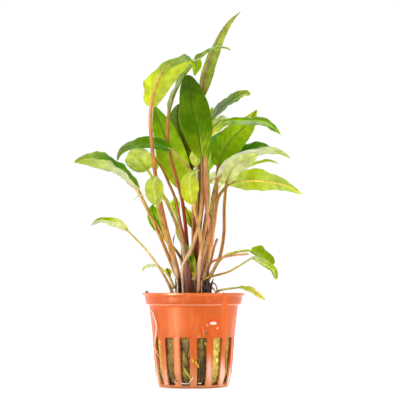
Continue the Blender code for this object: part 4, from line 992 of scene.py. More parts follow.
def grow_leaf(name, stalk, rib, left, face, fold, thick, top, under, vein, bark, wave, seed, right=None,
              slot="leaf_green", lobe=0.6, taper=1.0, scallop=0.0, rolled=None, roll=1):
    """One leaf as one piece: the blade over its rib, and the stalk with the midrib as a tapered rod.

    The rib goes on from the stalk's end. Left and right are the half widths at WIDTH_STOPS, alike where
    right isn't given. Face is where the upper face looks, thick is the stalk's radius at foot and neck,
    and wave is the margin's height and count. Colours run from base to tip. Scallop waves the margin of
    the right half near the base. Rolled gives other colours to the lower face on the right, or on the
    left with a roll of -1, where the real margin rolls over; the blade's shape is not rolled there.
    """
    bm, tints = tinted_mesh()
    ribs = bm.verts.layers.float_color.new("rib_tint")
    phases = bm.verts.layers.float.new("vein_phase")
    offs = bm.verts.layers.float.new("off_rib")
    edges = bm.verts.layers.float.new("edge")

    rib_line = smooth_route([seen(p) for p in stalk[-1:] + rib], RIB_PARTS)
    length = sum((q - p).length for p, q in zip(rib_line, rib_line[1:]))
    faces = [Vector(f).normalized() for f in face]
    foot, neck = thick
    amount, count = wave
    veins = vein if isinstance(vein, list) else [vein, vein]

    def frame_at(t):
        i = round(t * RIB_PARTS)
        forward = heading(rib_line, i)
        side = forward.cross(turned_face(faces, t)).normalized()
        return rib_line[i], forward, side, side.cross(forward).normalized()

    columns = 4 * HALF_COLUMNS + 2
    grid = bmesh.ops.create_grid(bm, x_segments=columns, y_segments=BLADE_ROWS, size=1)["verts"]
    bm.faces.ensure_lookup_table()
    for k, blade_face in enumerate(bm.faces):
        blade_face.material_index = 1 if k % columns > 2 * HALF_COLUMNS else 0
    across_shares = [(j / HALF_COLUMNS - 1) for j in range(2 * HALF_COLUMNS + 1)]
    shares = across_shares + across_shares[::-1]
    tilt = math.radians(fold)
    lean = math.cos(tilt) + (1 - math.cos(tilt)) * 0.3
    for row in range(BLADE_ROWS + 1):
        u = row / BLADE_ROWS
        t = 0.45 * u + 0.55 * u * u * (3 - 2 * u)
        centre, forward, side, up = frame_at(t)
        along = t * length
        ragged = 1 + RAGGED * noise.noise(Vector((along * 0.5, seed, 0)))
        least = LEAST_HALF_WIDTH * min(1, (1 - t) * 30) * min(1, t * 30)
        widths = [blade_width(w, t, taper) * ragged + least for w in (left, right or left)]
        scallops = math.sin(math.tau * (SCALLOP_COUNT * t - SCALLOP_START))
        widths[1] *= 1 + scallop * scallops * max(0.0, 1 - t * 2)
        swing = math.sin(math.pi * min(t * 1.05, 1)) ** 0.6
        rib_colour = blend_paints(veins, t)
        top_tint, under_tint = blend_paints(top, t), blend_paints(under, t)
        rolled_tint = blend_paints(rolled, t) if rolled else under_tint
        for column in range(columns + 1):
            vert = grid[row * (columns + 1) + column]
            j = column % columns
            above = j <= 2 * HALF_COLUMNS
            share = shares[j]
            half = widths[1] if share > 0 else widths[0]
            s = abs(share)
            a = s * half
            phase = 0.0 if share > 0 else 2.1
            ripple = amount * s ** 2.2 * math.sin(math.tau * count * t + phase + seed) * swing
            ripple += amount * 0.45 * s ** 3 * math.sin(math.tau * count * 2.3 * t + phase * 2 + seed * 1.7)
            veins_passed = vein_phase(along, a, half)
            quilt = QUILT_DEPTH * math.cos(math.tau * veins_passed) * s * (1 - s) * 4 * min(1, half / 3)
            groove = -GROOVE_DEPTH * max(0, 1 - a / GROOVE_HALF_WIDTH) * min(1, half)
            lift = a * math.sin(tilt) * (1.3 - 0.3 * s) + ripple * min(1, half / 3) - quilt + groove
            thickness = (MARGIN_THICKNESS + (MIDDLE_THICKNESS - MARGIN_THICKNESS) * (1 - s)) / 2
            if row in (0, BLADE_ROWS):
                a, lift, thickness = 0.0, 0.0, 0.0
            back = -lobe * s ** 1.6 * max(0.0, 1 - t / 0.22) ** 1.5 * min(1, t * 40)
            vert.co = (centre + side * (math.copysign(a * lean, share)) + forward * back
                       + up * (lift + (thickness if above else -thickness))) * MM
            tint = top_tint if above else rolled_tint if share * roll > -0.3 else under_tint
            vert[tints] = (*tint, 1)
            vert[ribs] = (*rib_colour, 1)
            vert[phases] = vein_phase(along, a, half)
            vert[offs] = a
            vert[edges] = s
    bmesh.ops.remove_doubles(bm, verts=grid, dist=1e-8)
    bmesh.ops.recalc_face_normals(bm, faces=bm.faces)

    stalk_places = [seen(p) for p in stalk]
    if stalk[0][1] == FOOT:
        low = stalk_places[0]
        buried = [Vector((low.x * inward, low.y * inward, up)) for inward, up in BURIED_FOOT]
        stalk_places = buried + stalk_places
    route, radii, colours = [], [], []
    for step, place in enumerate(smooth_route(stalk_places, STALK_ROWS)):
        u = step / STALK_ROWS
        base = max(0.0, 1 - (place.z - CROWN_TOP) / SWELL_HEIGHT)
        route.append(place)
        radii.append((foot + (neck - foot) * u) * 1.04 * (1 + FOOT_SWELL * base * base)
                     * (1 + RAGGED * noise.noise(Vector((place.z * 0.4, seed, 3)))))
        colours.append(blend_paints(bark, u))
    for step in range(1, RIB_ROWS + 1):
        t = step / RIB_ROWS
        centre, _, _, up = frame_at(t)
        radius = neck * (1 - t) ** 0.8 * (0.92 - 0.25 * min(1, t * 6)) + RIB_TIP_RADIUS
        sunk = min(1.0, t * 9) * (radius * 0.62 + 0.1)
        route.append(centre - up * sunk)
        radii.append(radius if step < RIB_ROWS else 0.0)
        tone = Vector(paint(*bark[-1])).lerp(blend_paints(veins, t), min(1.0, t * 3))
        colours.append(tone.lerp(blend_paints(under, t), t * 0.45))
    before = len(bm.faces)
    strands(bm, [(route, radii, colours, 1.0)], STALK_SIDES, tints)
    bm.faces.ensure_lookup_table()
    for rod_face in bm.faces[before:]:
        rod_face.material_index = 2
    shown(name, bm, [blade_top, blade_under, stalk_skin], slot, "leaf_" + name)


blade_top = leaf_blade_finish("leaf_upper_face", 0.34, 1.5, 0.2)
blade_under = leaf_blade_finish("leaf_lower_face", 0.5, 0.82, 0.24)

# Tall leaves. The four that stand highest: a broad one folded over at the left, the edge-on one beside
# it, the narrow spear at the top, and the dark one in front of them.
grow_leaf(
    "tall_left",
    stalk=[(-7.6, FOOT, -4.4), (-9.6, 64.9, -5.2), (-15.1, 85.4, -7.6), (-20.4, 111.7, -11),
           (-23.2, 138.3, -14), (-22.8, 150.7, -15)],
    rib=[(-22.0, 155, -15.6), (-20.6, 159.5, -16.4), (-19.1, 164, -17.2), (-17.2, 168.3, -18),
         (-14.6, 171.2, -18.8), (-11.2, 173.4, -19.6), (-7.2, 174.6, -20.4), (-3.2, 174.9, -21.2),
         (0, 174.4, -22), (1.4, 172.4, -22.6), (0.9, 169.2, -23), (0.4, 166.2, -23.4)],
    left=(6.6, 8.6, 7.0, 3.4), right=(6.9, 3.0, 1.8, 3.2),
    face=[(0.1, 1, 0.2)] * 4 + [(0.1, 1, 0.25), (0.12, 0.9, 0.4), (0.2, 0.3, 0.9), (0.3, -0.9, 0.3),
          (0.3, -0.9, 0.3)], fold=14, thick=(1.3, 0.9),
    top=[(96, 146, 24), (124, 160, 24), (140, 164, 20), (132, 156, 8)],
    under=[(162, 168, 58), (184, 192, 58), (162, 176, 58)],
    vein=[(196, 128, 72), (194, 126, 62), (164, 130, 60), (112, 134, 74), (112, 134, 60)],
    bark=[(222, 156, 72), (164, 98, 50), (180, 124, 54)], wave=(0.75, 4.4), seed=1, lobe=3.2, taper=0.7,
    # The grey green in the last stops of rolled is painted sheen on the turned-over margin.
    scallop=0.16, rolled=[(186, 194, 46), (186, 196, 40), (124, 152, 56), (112, 140, 84), (120, 150, 70)])
grow_leaf(
    "tall_edge",
    stalk=[(-3.0, FOOT, -1.0), (-3.3, 73.3, -0.8), (-6.2, 98.8, -0.7), (-10.3, 113.6, -0.8),
           (-13.7, 131.4, -1.2), (-13.8, 144.3, -3)],
    rib=[(-12.6, 150, -3.4), (-10.6, 156, -4), (-8.0, 161.4, -5), (-4.6, 167, -6), (-1.3, 171, -7),
         (2.0, 174.4, -7.8), (6.0, 178.1, -8.2), (10.5, 180.7, -8.4), (14.8, 181.6, -8),
         (18.4, 181.1, -7.4), (20.2, 179.9, -7)],
    left=(3.6, 4.6, 4.4, 3.0), right=(4.4, 5.6, 5.0, 3.2), face=[(-0.85, -0.3, 0.4), (-0.35, -0.35, 0.9)],
    fold=16, thick=(1.0, 0.8),
    # The greyish second stop of top is painted sheen where the blade bends.
    top=[(108, 126, 56), (128, 144, 92), (112, 138, 50), (108, 136, 6), (112, 134, 6)],
    under=[(146, 154, 42), (128, 148, 20), (116, 142, 6)],
    vein=[(162, 110, 58), (150, 150, 50), (152, 176, 36), (140, 170, 30)],
    bark=[(152, 40, 6), (164, 64, 2), (162, 104, 32)], wave=(0.5, 4.0), seed=2, taper=0.8)
grow_leaf(
    "top_spear",
    stalk=[(1.3, FOOT, 1.8), (1.8, 77.6, 2.6), (3.1, 106.6, 4), (2.9, 122.3, 4.5), (4.4, 147, 4.1),
           (4.8, 155, 4)],
    rib=[(5.4, 162, 3.6), (6.9, 169, 3.2), (8.9, 176, 3), (12.5, 185.2, 2.6), (15.4, 190.7, 2.4),
         (19.6, 196.4, 2.2), (25.5, 201.3, 2)],
    left=(3.9, 4.0, 3.4, 2.1), right=(3.2, 2.4, 1.1, 0.6), face=[(0.3, 0.95, 0)], fold=22, thick=(1.2, 1.0),
    top=[(80, 130, 20), (120, 160, 30)], under=[(126, 138, 54), (140, 152, 58), (158, 168, 52)],
    vein=(144, 108, 92), bark=[(142, 48, 2), (114, 44, 2), (130, 76, 4)], wave=(0.25, 3.0), seed=3)
grow_leaf(
    "dark_front",
    stalk=[(-5.8, FOOT, -6.6), (-5.6, 63.9, -7.6), (-0.7, 74.4, -9), (3.3, 88.9, -11.2),
           (4.6, 106.3, -12.6), (4.5, 121.3, -13.2)],
    rib=[(2.2, 136.5, -13), (0, 144.7, -12), (-2.2, 156.3, -10), (-3.2, 166.7, -6.5)],
    left=(6.6, 8.3, 6.6, 4.8), right=(6.2, 8.4, 8.6, 6.2), face=[(0, -1, 0.15), (0.1, -0.9, 0.45)], fold=13,
    thick=(1.0, 0.8),
    # The darker last stop of top is painted shade where the tip curls back.
    top=[(118, 136, 18), (66, 98, 6), (80, 108, 18), (64, 96, 32)], under=[(150, 180, 40), (130, 170, 30)],
    vein=(66, 88, 4), bark=[(228, 198, 168), (186, 136, 76), (106, 96, 22)], wave=(0.3, 3.2), seed=4,
    taper=0.62)

# Leaves at the left. Green blades over pale, thin-skinned ones that are seen from below, and two long
# ones that arch right out.
grow_leaf(
    "broad_left", stalk=[(-2.4, FOOT, 4.6), (-3.6, 77.6, 7.4), (-5.2, 93.7, 9), (-7.3, 105.5, 10)],
    rib=[(-10.6, 117.9, 12), (-15.8, 134.5, 15), (-18.7, 142.6, 17), (-21.4, 150.7, 18)],
    left=(6.1, 8.0, 6.4, 4.2), right=(7.9, 8.3, 7.1, 4.8), face=[(0, -1, 0.25)], fold=12, thick=(0.95, 0.8),
    top=[(180, 198, 40), (126, 156, 26), (90, 130, 8)], under=[(170, 200, 40), (150, 190, 30)],
    vein=(96, 92, 14), bark=[(74, 26, 0), (98, 34, 2), (114, 36, 2)], wave=(0.35, 3.5), seed=5)
grow_leaf(
    "dark_left",
    stalk=[(-0.6, FOOT, -3.4), (-0.3, 77.6, -3.5), (-0.4, 99.1, -3.6), (-1.5, 113.6, -4.4),
           (-4.3, 118.1, -5), (-12, 126.3, -6)],
    rib=[(-19.7, 129.3, -6), (-27.2, 129.8, -6.4), (-34.2, 127.7, -6.8), (-39.1, 124.4, -7),
         (-41.2, 119.9, -7.2)],
    left=(4.6, 4.4, 2.5, 1.3), right=(3.9, 3.7, 3.2, 2.2), face=[(0.1, -0.8, 0.6)], fold=10,
    thick=(0.9, 0.75),
    # The grey last stop of top is painted sheen towards the tip, where the blade bends.
    top=[(66, 118, 4), (84, 120, 20), (134, 144, 88)], under=[(154, 232, 2), (132, 206, 2)],
    vein=(92, 130, 20), bark=[(144, 60, 8), (154, 96, 14), (176, 162, 76)], wave=(0.4, 3.0), seed=6)
grow_leaf(
    "under_left",
    stalk=[(-3.0, FOOT, 1.8), (-4.4, 75.3, 1.9), (-7.0, 86.2, 1.7), (-9.5, 98.6, 1.6), (-13.3, 108.1, 1.7),
           (-18, 117.8, 1.9), (-25, 124.7, 2.6)],
    rib=[(-29, 126.2, 3.2), (-33.2, 126.6, 3.8), (-37.6, 125.6, 4.6)],
    left=(2.4, 2.8, 2.4, 1.5), face=[(0, -0.4, 0.9)], fold=8, thick=(0.85, 0.7),
    top=[(98, 132, 2), (92, 122, 2)], under=[(170, 200, 30), (160, 190, 30)],
    vein=(150, 160, 50), bark=[(138, 74, 8), (152, 82, 16), (158, 128, 28)], wave=(0.25, 2.5), seed=7)
grow_leaf(
    "pale_left",
    stalk=[(-4.4, FOOT, -3.6), (-5.5, 71.8, -3.5), (-9.6, 86.8, -4.3), (-16.4, 101.5, -5.6),
           (-22.3, 111.3, -7), (-24.8, 115.2, -7.6)],
    rib=[(-28.3, 119.6, -9), (-34, 126, -12)],
    left=(5.4, 6.4, 5.6, 3.2), right=(6.4, 7.4, 7.2, 5.6), face=[(0, 0.9, 0.45)], fold=14,
    thick=(0.9, 0.75),
    top=[(120, 165, 30), (110, 160, 30)], under=[(158, 178, 48), (192, 204, 98), (200, 210, 92)],
    vein=(162, 182, 14), bark=[(246, 246, 202), (192, 142, 82), (168, 174, 56)], wave=(0.45, 3.0), seed=8,
    slot="leaf_pale")
grow_leaf(
    "light_front",
    stalk=[(-8.2, FOOT, -7.0), (-9.8, 61.7, -8.4), (-13.3, 75.2, -11.4), (-16.8, 85.4, -14),
           (-19.7, 96.6, -16.8)],
    rib=[(-20.9, 102.8, -18.5), (-21.2, 108.3, -21), (-20.2, 111.9, -24)],
    left=(4.0, 4.6, 4.4, 3.2), right=(4.4, 5.1, 4.4, 2.7), face=[(0.05, 0.9, 0.3), (0, 0.5, 0.85)], fold=12,
    thick=(0.95, 0.75),
    top=[(96, 150, 20), (80, 135, 15)], under=[(156, 166, 78), (168, 178, 58), (142, 158, 76)],
    vein=(192, 198, 96), bark=[(226, 220, 184), (180, 130, 80), (160, 150, 38)], wave=(0.3, 2.5), seed=9,
    slot="leaf_pale")
grow_leaf(
    "curled_front",
    stalk=[(0.4, FOOT, -5.6), (3.0, 66.6, -5.6), (3.9, 75.2, -6.2), (2.6, 84.9, -7.6), (-0.3, 96.6, -11.6)],
    rib=[(-1.5, 102.7, -14.6), (-2.3, 109, -18), (-1.2, 113.3, -20), (3.1, 115.2, -20.4)],
    left=(3.2, 4.7, 4.6, 2.4), right=(5.0, 5.0, 4.4, 2.4), face=[(0.1, 0.95, 0.2), (-0.3, 0.4, 0.9)],
    fold=14, thick=(1.0, 0.8),
    top=[(90, 150, 8), (74, 136, 4)], under=[(194, 204, 38), (184, 190, 54), (128, 148, 60)],
    vein=(192, 204, 100), bark=[(246, 246, 246), (222, 170, 102), (184, 150, 70)], wave=(0.3, 2.2), seed=10,
    slot="leaf_pale")
grow_leaf(
    "small_pale",
    stalk=[(1.4, FOOT, -1.6), (1.9, 77.6, -2.2), (1.5, 99.1, -3.6), (1.0, 109.9, -4.8), (1.0, 117.7, -6)],
    rib=[(1.4, 121.7, -7), (0.2, 127.1, -9.4)],
    left=(2.4, 2.8, 2.5, 1.5), right=(3.1, 3.7, 3.0, 1.6), face=[(0, 0.9, 0.4)], fold=14, thick=(0.8, 0.6),
    top=[(120, 165, 30), (120, 165, 30)], under=[(176, 186, 66), (198, 206, 102)],
    vein=(220, 214, 94), bark=[(172, 92, 4), (122, 52, 4), (162, 156, 12)], wave=(0.25, 2.0), seed=11,
    slot="leaf_pale")
grow_leaf(
    "arching_left",
    stalk=[(-8.2, FOOT, -1.6), (-10.4, 61.3, -2), (-15.1, 72.8, -3.3), (-20.9, 86.1, -4.9),
           (-27.1, 99.1, -6.6), (-29.6, 104.2, -7)],
    rib=[(-34.3, 107.8, -7.6), (-41.9, 113.4, -8.6), (-50.8, 116, -9.6), (-59.8, 118.5, -10.4),
         (-64.7, 119.1, -11)],
    left=(4.7, 7.1, 10.6, 8.2), right=(5.5, 7.0, 10.3, 8.2), face=[(0, -0.33, 0.95)], fold=43,
    thick=(0.95, 0.8),
    # The pale grey stops of under and the bluish-white vein are painted sheen: gloss on the near half and
    # along the midrib.
    top=[(120, 156, 40), (70, 122, 16), (152, 168, 74)],
    under=[(188, 182, 134), (176, 184, 136), (160, 174, 78), (148, 160, 26)],
    vein=(230, 232, 244), bark=[(158, 120, 56), (184, 130, 60), (188, 152, 80)], wave=(0.4, 3.6), seed=12)
grow_leaf(
    "hidden_left",
    stalk=[(-5.2, FOOT, 0.2), (-6.5, 66.3, 0.4), (-9.2, 71.8, 0.5), (-15.1, 77.7, 0.4), (-18.8, 83.7, 0.3),
           (-23.4, 91, 0.3), (-29.3, 102.3, 1), (-33.6, 108.8, 3)],
    rib=[(-38, 113.2, 6), (-44, 116.9, 9), (-51, 118.1, 12)],
    left=(3.6, 4.6, 4.2, 2.6), face=[(0, -0.2, 1)], fold=8, thick=(0.85, 0.7),
    top=[(100, 150, 25), (100, 150, 25)], under=[(150, 180, 60), (150, 180, 60)],
    vein=(140, 150, 50), bark=[(166, 110, 54), (210, 178, 86), (176, 172, 86)], wave=(0.25, 2.5), seed=13)
grow_leaf(
    "far_left",
    stalk=[(-11.0, 48.7, -2.8), (-13.8, 55.1, -4), (-19.4, 64.4, -6), (-26.8, 73.9, -9),
           (-35.4, 82.7, -12)],
    rib=[(-40.4, 86.4, -13.4), (-46, 87.8, -15), (-50.7, 88.1, -16), (-55.2, 85.0, -17)],
    left=(2.2, 2.4, 1.9, 1.1), right=(3.0, 3.4, 1.8, 1.1), face=[(0.15, 0.75, 0.6)], fold=10,
    thick=(0.75, 0.45),
    top=[(160, 190, 70), (138, 176, 20), (124, 160, 40)],
    under=[(178, 174, 140), (180, 184, 128), (114, 144, 10)],
    vein=(214, 208, 184), bark=[(192, 148, 90), (214, 184, 120), (178, 158, 54)], wave=(0.2, 1.6), seed=14,
    rolled=[(170, 176, 70), (186, 190, 110), (150, 172, 10), (112, 142, 4), (104, 128, 6)], roll=-1,
    slot="leaf_pale")

# Low young leaves. Small blades on short stalks that come out at the rim or from between the old ones.
# They are soft and thin, with almost no wave in their margins.
grow_leaf(
    "tiny_left", stalk=[(-10.6, 52.2, 2.6), (-12.6, 57.5, 3), (-14.9, 60.4, 3), (-18.2, 63.2, 3)],
    rib=[(-23.2, 63.8, 4), (-26.2, 62.8, 4.6), (-27.4, 60.9, 5)],
    left=(1.4, 1.7, 1.5, 1.0), face=[(0, -0.6, 0.8)], fold=10, thick=(0.7, 0.55),
    top=[(246, 244, 246), (194, 210, 82)], under=[(190, 212, 110), (150, 190, 60)],
    vein=(170, 190, 80), bark=[(200, 176, 88), (186, 182, 64), (200, 236, 122)], wave=(0.15, 2.0), seed=15)
grow_leaf(
    "bud_left", stalk=[(-10.6, 51.7, 6.2), (-12.1, 56.1, 6.8), (-12.9, 59, 7)],
    rib=[(-13.5, 60.7, 7.2), (-14.6, 62.7, 7.4)],
    left=(1.3, 1.6, 1.3, 0.8), face=[(0.2, -1, 0.2)], fold=10, thick=(0.7, 0.5),
    top=[(192, 202, 24), (180, 210, 16)], under=[(110, 150, 20), (110, 150, 20)],
    vein=(80, 90, 20), bark=[(96, 84, 30), (104, 96, 20), (96, 96, 16)], wave=(0.15, 1.5), seed=16)
grow_leaf(
    "low_right",
    stalk=[(6.8, FOOT, 1.8), (8.8, 59.1, 1.8), (13.7, 66.2, 1.4), (18.2, 69.9, 0), (26.5, 71.8, -2),
           (31.4, 72, -3)],
    rib=[(35, 71, -4), (38.7, 68.2, -5), (43, 64.8, -6)],
    left=(4.0, 3.5, 3.2, 2.8), right=(3.4, 3.8, 3.2, 1.8), face=[(0.2, -0.8, 0.6)], fold=10,
    thick=(0.8, 0.6),
    top=[(128, 152, 30), (126, 150, 24), (128, 144, 22)], under=[(170, 200, 60), (160, 195, 40)],
    vein=(120, 165, 20), bark=[(204, 184, 132), (202, 184, 70), (168, 186, 10)], wave=(0.25, 1.6), seed=17,
    lobe=1.6, taper=0.55)
grow_leaf(
    "low_pale",
    stalk=[(4.7, FOOT, -6.4), (8.8, 57.9, -8.4), (17.5, 60.3, -10), (22.6, 62.8, -11.4),
           (31.1, 68.1, -13.6)],
    rib=[(34.9, 66.4, -14.6), (39.4, 63.8, -15.2), (42.7, 61.2, -15.6), (44.2, 56.4, -16)],
    left=(2.2, 2.6, 3.0, 2.5), right=(2.2, 2.6, 2.6, 1.8), face=[(0.5, 0.6, 0.6)], fold=16,
    thick=(0.7, 0.42),
    top=[(108, 146, 10), (100, 142, 8)], under=[(176, 188, 136), (162, 172, 56), (122, 140, 20)],
    vein=(190, 210, 110), bark=[(126, 82, 34), (172, 130, 34), (172, 164, 34)], wave=(0.15, 1.4), seed=18,
    taper=0.6, slot="leaf_pale")
grow_leaf(
    "rim_right",
    stalk=[(10.9, 46.7, -3.4), (12.2, 49.7, -4.6), (15.1, 51.1, -6.4), (19, 51.7, -8.4),
           (24.2, 52.3, -10.6)],
    rib=[(28, 51.6, -12), (32.8, 49.2, -13.6), (38.4, 45.3, -15)],
    left=(2.2, 2.6, 2.2, 1.4), right=(1.8, 2.0, 1.8, 1.2), face=[(0.3, -0.6, 0.75)], fold=10,
    thick=(0.6, 0.42),
    top=[(144, 158, 24), (196, 180, 80), (224, 188, 58)], under=[(150, 160, 20), (160, 160, 10)],
    vein=(130, 168, 14), bark=[(194, 196, 88), (196, 188, 72), (140, 138, 18)], wave=(0.3, 2.4), seed=19)
grow_leaf(
    "green_lower", stalk=[(-7.2, FOOT, 2.6), (-9.4, 65.9, 3.6), (-13.2, 75, 4.8), (-16.4, 81.9, 5.6)],
    rib=[(-19.1, 87.3, 6.4), (-21.6, 92.7, 7.4), (-21.9, 96.9, 8.4)],
    left=(4.0, 4.6, 4.2, 2.6), right=(3.0, 3.4, 3.2, 2.2), face=[(0, -1, 0.3)], fold=12, thick=(0.85, 0.7),
    top=[(128, 162, 2), (98, 148, 2), (140, 182, 16)], under=[(150, 180, 60), (150, 180, 60)],
    vein=(90, 130, 20), bark=[(120, 60, 24), (140, 80, 30), (110, 120, 20)], wave=(0.45, 2.0), seed=20)
grow_leaf(
    "strip_lower", stalk=[(-5.4, FOOT, 6.4), (-6, 68.3, 8.4), (-6.3, 76.5, 9.4)],
    rib=[(-7.6, 82, 10), (-9.3, 87.1, 11)],
    left=(1.6, 2.0, 1.8, 1.1), face=[(0, -1, 0.2)], fold=14, thick=(0.75, 0.6),
    top=[(198, 246, 18), (158, 216, 8)], under=[(140, 180, 20), (140, 180, 20)],
    vein=(96, 140, 20), bark=[(120, 60, 24), (120, 90, 30), (110, 140, 20)], wave=(0.15, 2.0), seed=21)
grow_leaf(
    "spear_centre", stalk=[(-0.6, 56.1, -8.0), (-0.1, 58.9, -7.6)],
    rib=[(-1.4, 65.9, -6.4), (-3, 72.3, -5.6), (-4.5, 75.8, -5.2)],
    left=(1.2, 1.4, 1.2, 0.8), right=(1.8, 2.4, 2.0, 1.2), face=[(0.2, -1, 0.1)], fold=24, thick=(0.9, 0.8),
    top=[(152, 160, 2), (86, 114, 2), (96, 128, 2)], under=[(150, 200, 10), (140, 190, 10)],
    vein=(60, 110, 4), bark=[(206, 160, 126), (210, 168, 86), (214, 178, 46)], wave=(0.1, 1.5), seed=22,
    slot="leaf_pale")
grow_leaf(
    "yellow_left",
    stalk=[(-1.1, FOOT, 2.6), (-2.4, 66.5, 4.2), (-4.8, 77.1, 4.6), (-8.4, 88.4, 4.6), (-11.6, 95.3, 4.8),
           (-15.8, 101.2, 5.2), (-18.8, 106.5, 5.8), (-20.4, 112, 6.4), (-20.6, 115.4, 6.8)],
    rib=[(-21, 118, 7.3), (-22.4, 121, 8), (-24.4, 124.6, 8.8)],
    left=(2.2, 2.8, 2.6, 1.7), face=[(0, -1, 0.3)], fold=12, thick=(0.8, 0.65),
    top=[(158, 190, 8), (136, 156, 8), (134, 166, 6)], under=[(170, 200, 40), (170, 200, 40)],
    vein=(150, 176, 30), bark=[(176, 94, 74), (168, 170, 62), (206, 244, 70)], wave=(0.3, 2.2), seed=23,
    slot="leaf_pale")

# Leaves at the right. Long pale blades that lie out to the side, with green and yellow ones above
# them, each held out by a thin stalk that bends under it.
grow_leaf(
    "long_right",
    stalk=[(5.8, FOOT, -0.6), (7.7, 65.9, -0.8), (9.5, 75.2, -1.5), (10.2, 81.9, -2.2), (11.2, 88.9, -3.5),
           (12.4, 96.9, -5.4), (14.2, 102.3, -7), (18.9, 107.8, -9)],
    rib=[(24, 109.2, -11), (35, 109.4, -15), (48.3, 107.2, -18), (58.6, 102, -20)],
    left=(5.8, 5.8, 4.5, 2.5), right=(5.2, 6.2, 4.3, 1.9), face=[(-0.1, 0.9, 0.4)], fold=12,
    thick=(1.0, 0.8),
    top=[(110, 155, 20), (120, 165, 30)],
    under=[(182, 200, 90), (152, 166, 26), (170, 182, 78), (144, 186, 58)],
    vein=(242, 206, 88), bark=[(246, 246, 168), (216, 150, 88), (120, 104, 14)], wave=(0.65, 3.4), seed=24,
    lobe=1.5, slot="leaf_pale")
grow_leaf(
    "pale_right",
    stalk=[(2.9, FOOT, -4.0), (4.7, 68.3, -3.6), (7.1, 77.9, -5.2), (9.5, 85.4, -7), (10.3, 95.9, -9.6),
           (11.9, 106.8, -12.4), (13.1, 110.5, -13.2)],
    rib=[(19, 117, -15.4), (26, 122.2, -18), (37.3, 125.6, -21.4), (46, 125, -23.4), (52.3, 121.4, -24.4)],
    left=(5.8, 6.0, 3.0, 2.2), right=(3.7, 2.6, 1.7, 1.7), face=[(0.1, 0.75, 0.65)], fold=14,
    thick=(1.0, 0.8),
    top=[(96, 126, 30), (118, 142, 32)],
    under=[(200, 198, 140), (220, 208, 214), (200, 204, 154), (140, 174, 20)],
    vein=(174, 174, 108), bark=[(232, 192, 168), (174, 128, 74), (130, 102, 28)], wave=(0.35, 3.0), seed=25,
    lobe=1.2, slot="leaf_pale")
grow_leaf(
    "yellow_right",
    stalk=[(7.6, FOOT, -5.3), (10.3, 60.9, -5.6), (14.2, 69.4, -6.6), (16.2, 81.3, -10), (16.4, 95.3, -14),
           (17.5, 108.2, -18)],
    rib=[(19.5, 113.5, -20), (23, 118.2, -22.4), (34.6, 123.9, -28)],
    left=(4.4, 5.4, 5.0, 3.4), right=(4.0, 4.6, 4.0, 2.4), face=[(0, 0.9, 0.35)], fold=14,
    thick=(0.95, 0.75),
    top=[(130, 170, 20), (130, 170, 20)], under=[(178, 182, 100), (178, 182, 126), (186, 200, 94)],
    vein=(150, 144, 60), bark=[(158, 132, 50), (146, 90, 24), (132, 100, 22)], wave=(0.35, 2.4), seed=26,
    lobe=1.0, slot="leaf_pale")
grow_leaf(
    "big_right",
    stalk=[(4.4, FOOT, 2.4), (8.2, 68.3, 2.4), (10.5, 82.9, 2.5), (12.2, 96.2, 3), (12.4, 107.4, 3.6),
           (13.1, 117.2, 4.6)],
    rib=[(15.8, 125.2, 7), (21.6, 133.3, 10), (28.3, 139.6, 13), (34.1, 147.9, 15)],
    left=(6.4, 7.0, 5.4, 3.4), right=(6.2, 8.0, 7.0, 4.2), face=[(0.1, -1, 0.3)], fold=12,
    thick=(1.0, 0.85),
    top=[(96, 136, 2), (120, 150, 18), (174, 196, 36)], under=[(170, 200, 60), (160, 190, 50)],
    vein=(108, 102, 46), bark=[(154, 80, 22), (208, 120, 48), (128, 84, 12)], wave=(0.4, 3.0), seed=27,
    lobe=1.2)
grow_leaf(
    "bright_back",
    stalk=[(0.8, FOOT, 4.8), (3.3, 69.7, 5.2), (6.5, 86.2, 6.2), (8.1, 99.9, 7.2), (8, 107.3, 8.4),
           (7.8, 115.4, 10.4)],
    rib=[(8.8, 121.7, 12.6), (10.7, 128.2, 15), (13.6, 133.1, 18), (17.6, 137.1, 21)],
    left=(2.4, 3.4, 3.4, 2.0), right=(3.4, 4.4, 4.0, 2.4), face=[(0.1, -1, 0.4)], fold=12,
    thick=(0.95, 0.8),
    top=[(162, 190, 30), (86, 144, 32), (64, 128, 68)], under=[(170, 200, 60), (160, 190, 50)],
    vein=(224, 246, 150), bark=[(222, 132, 134), (242, 184, 108), (172, 180, 86)], wave=(0.3, 2.5), seed=28)
grow_leaf(
    "bright_arch",
    stalk=[(3.4, FOOT, -0.2), (7.1, 72.3, 0.2), (8.5, 84.6, 0.2), (6.8, 94.3, 0), (6.5, 107.3, -0.4),
           (6.1, 120.6, -1), (7.4, 127.7, -1.6), (9.2, 134.2, -2.2)],
    rib=[(12.3, 137.9, -2.6), (18, 141.7, -3.2), (28.3, 142, -4.8), (39, 140.9, -6.6), (47.3, 134.1, -8)],
    left=(1.3, 1.8, 2.8, 2.3), right=(4.6, 5.4, 6.2, 4.8), face=[(-0.2, -0.75, 0.65), (0.1, -0.55, 0.8)],
    fold=10, thick=(0.95, 0.8),
    top=[(238, 246, 84), (114, 146, 0), (100, 128, 2), (100, 122, 2)],
    under=[(196, 212, 110), (180, 206, 40)],
    vein=(138, 214, 6), bark=[(200, 152, 90), (214, 140, 90), (198, 118, 70)], wave=(0.35, 3.4), seed=29)
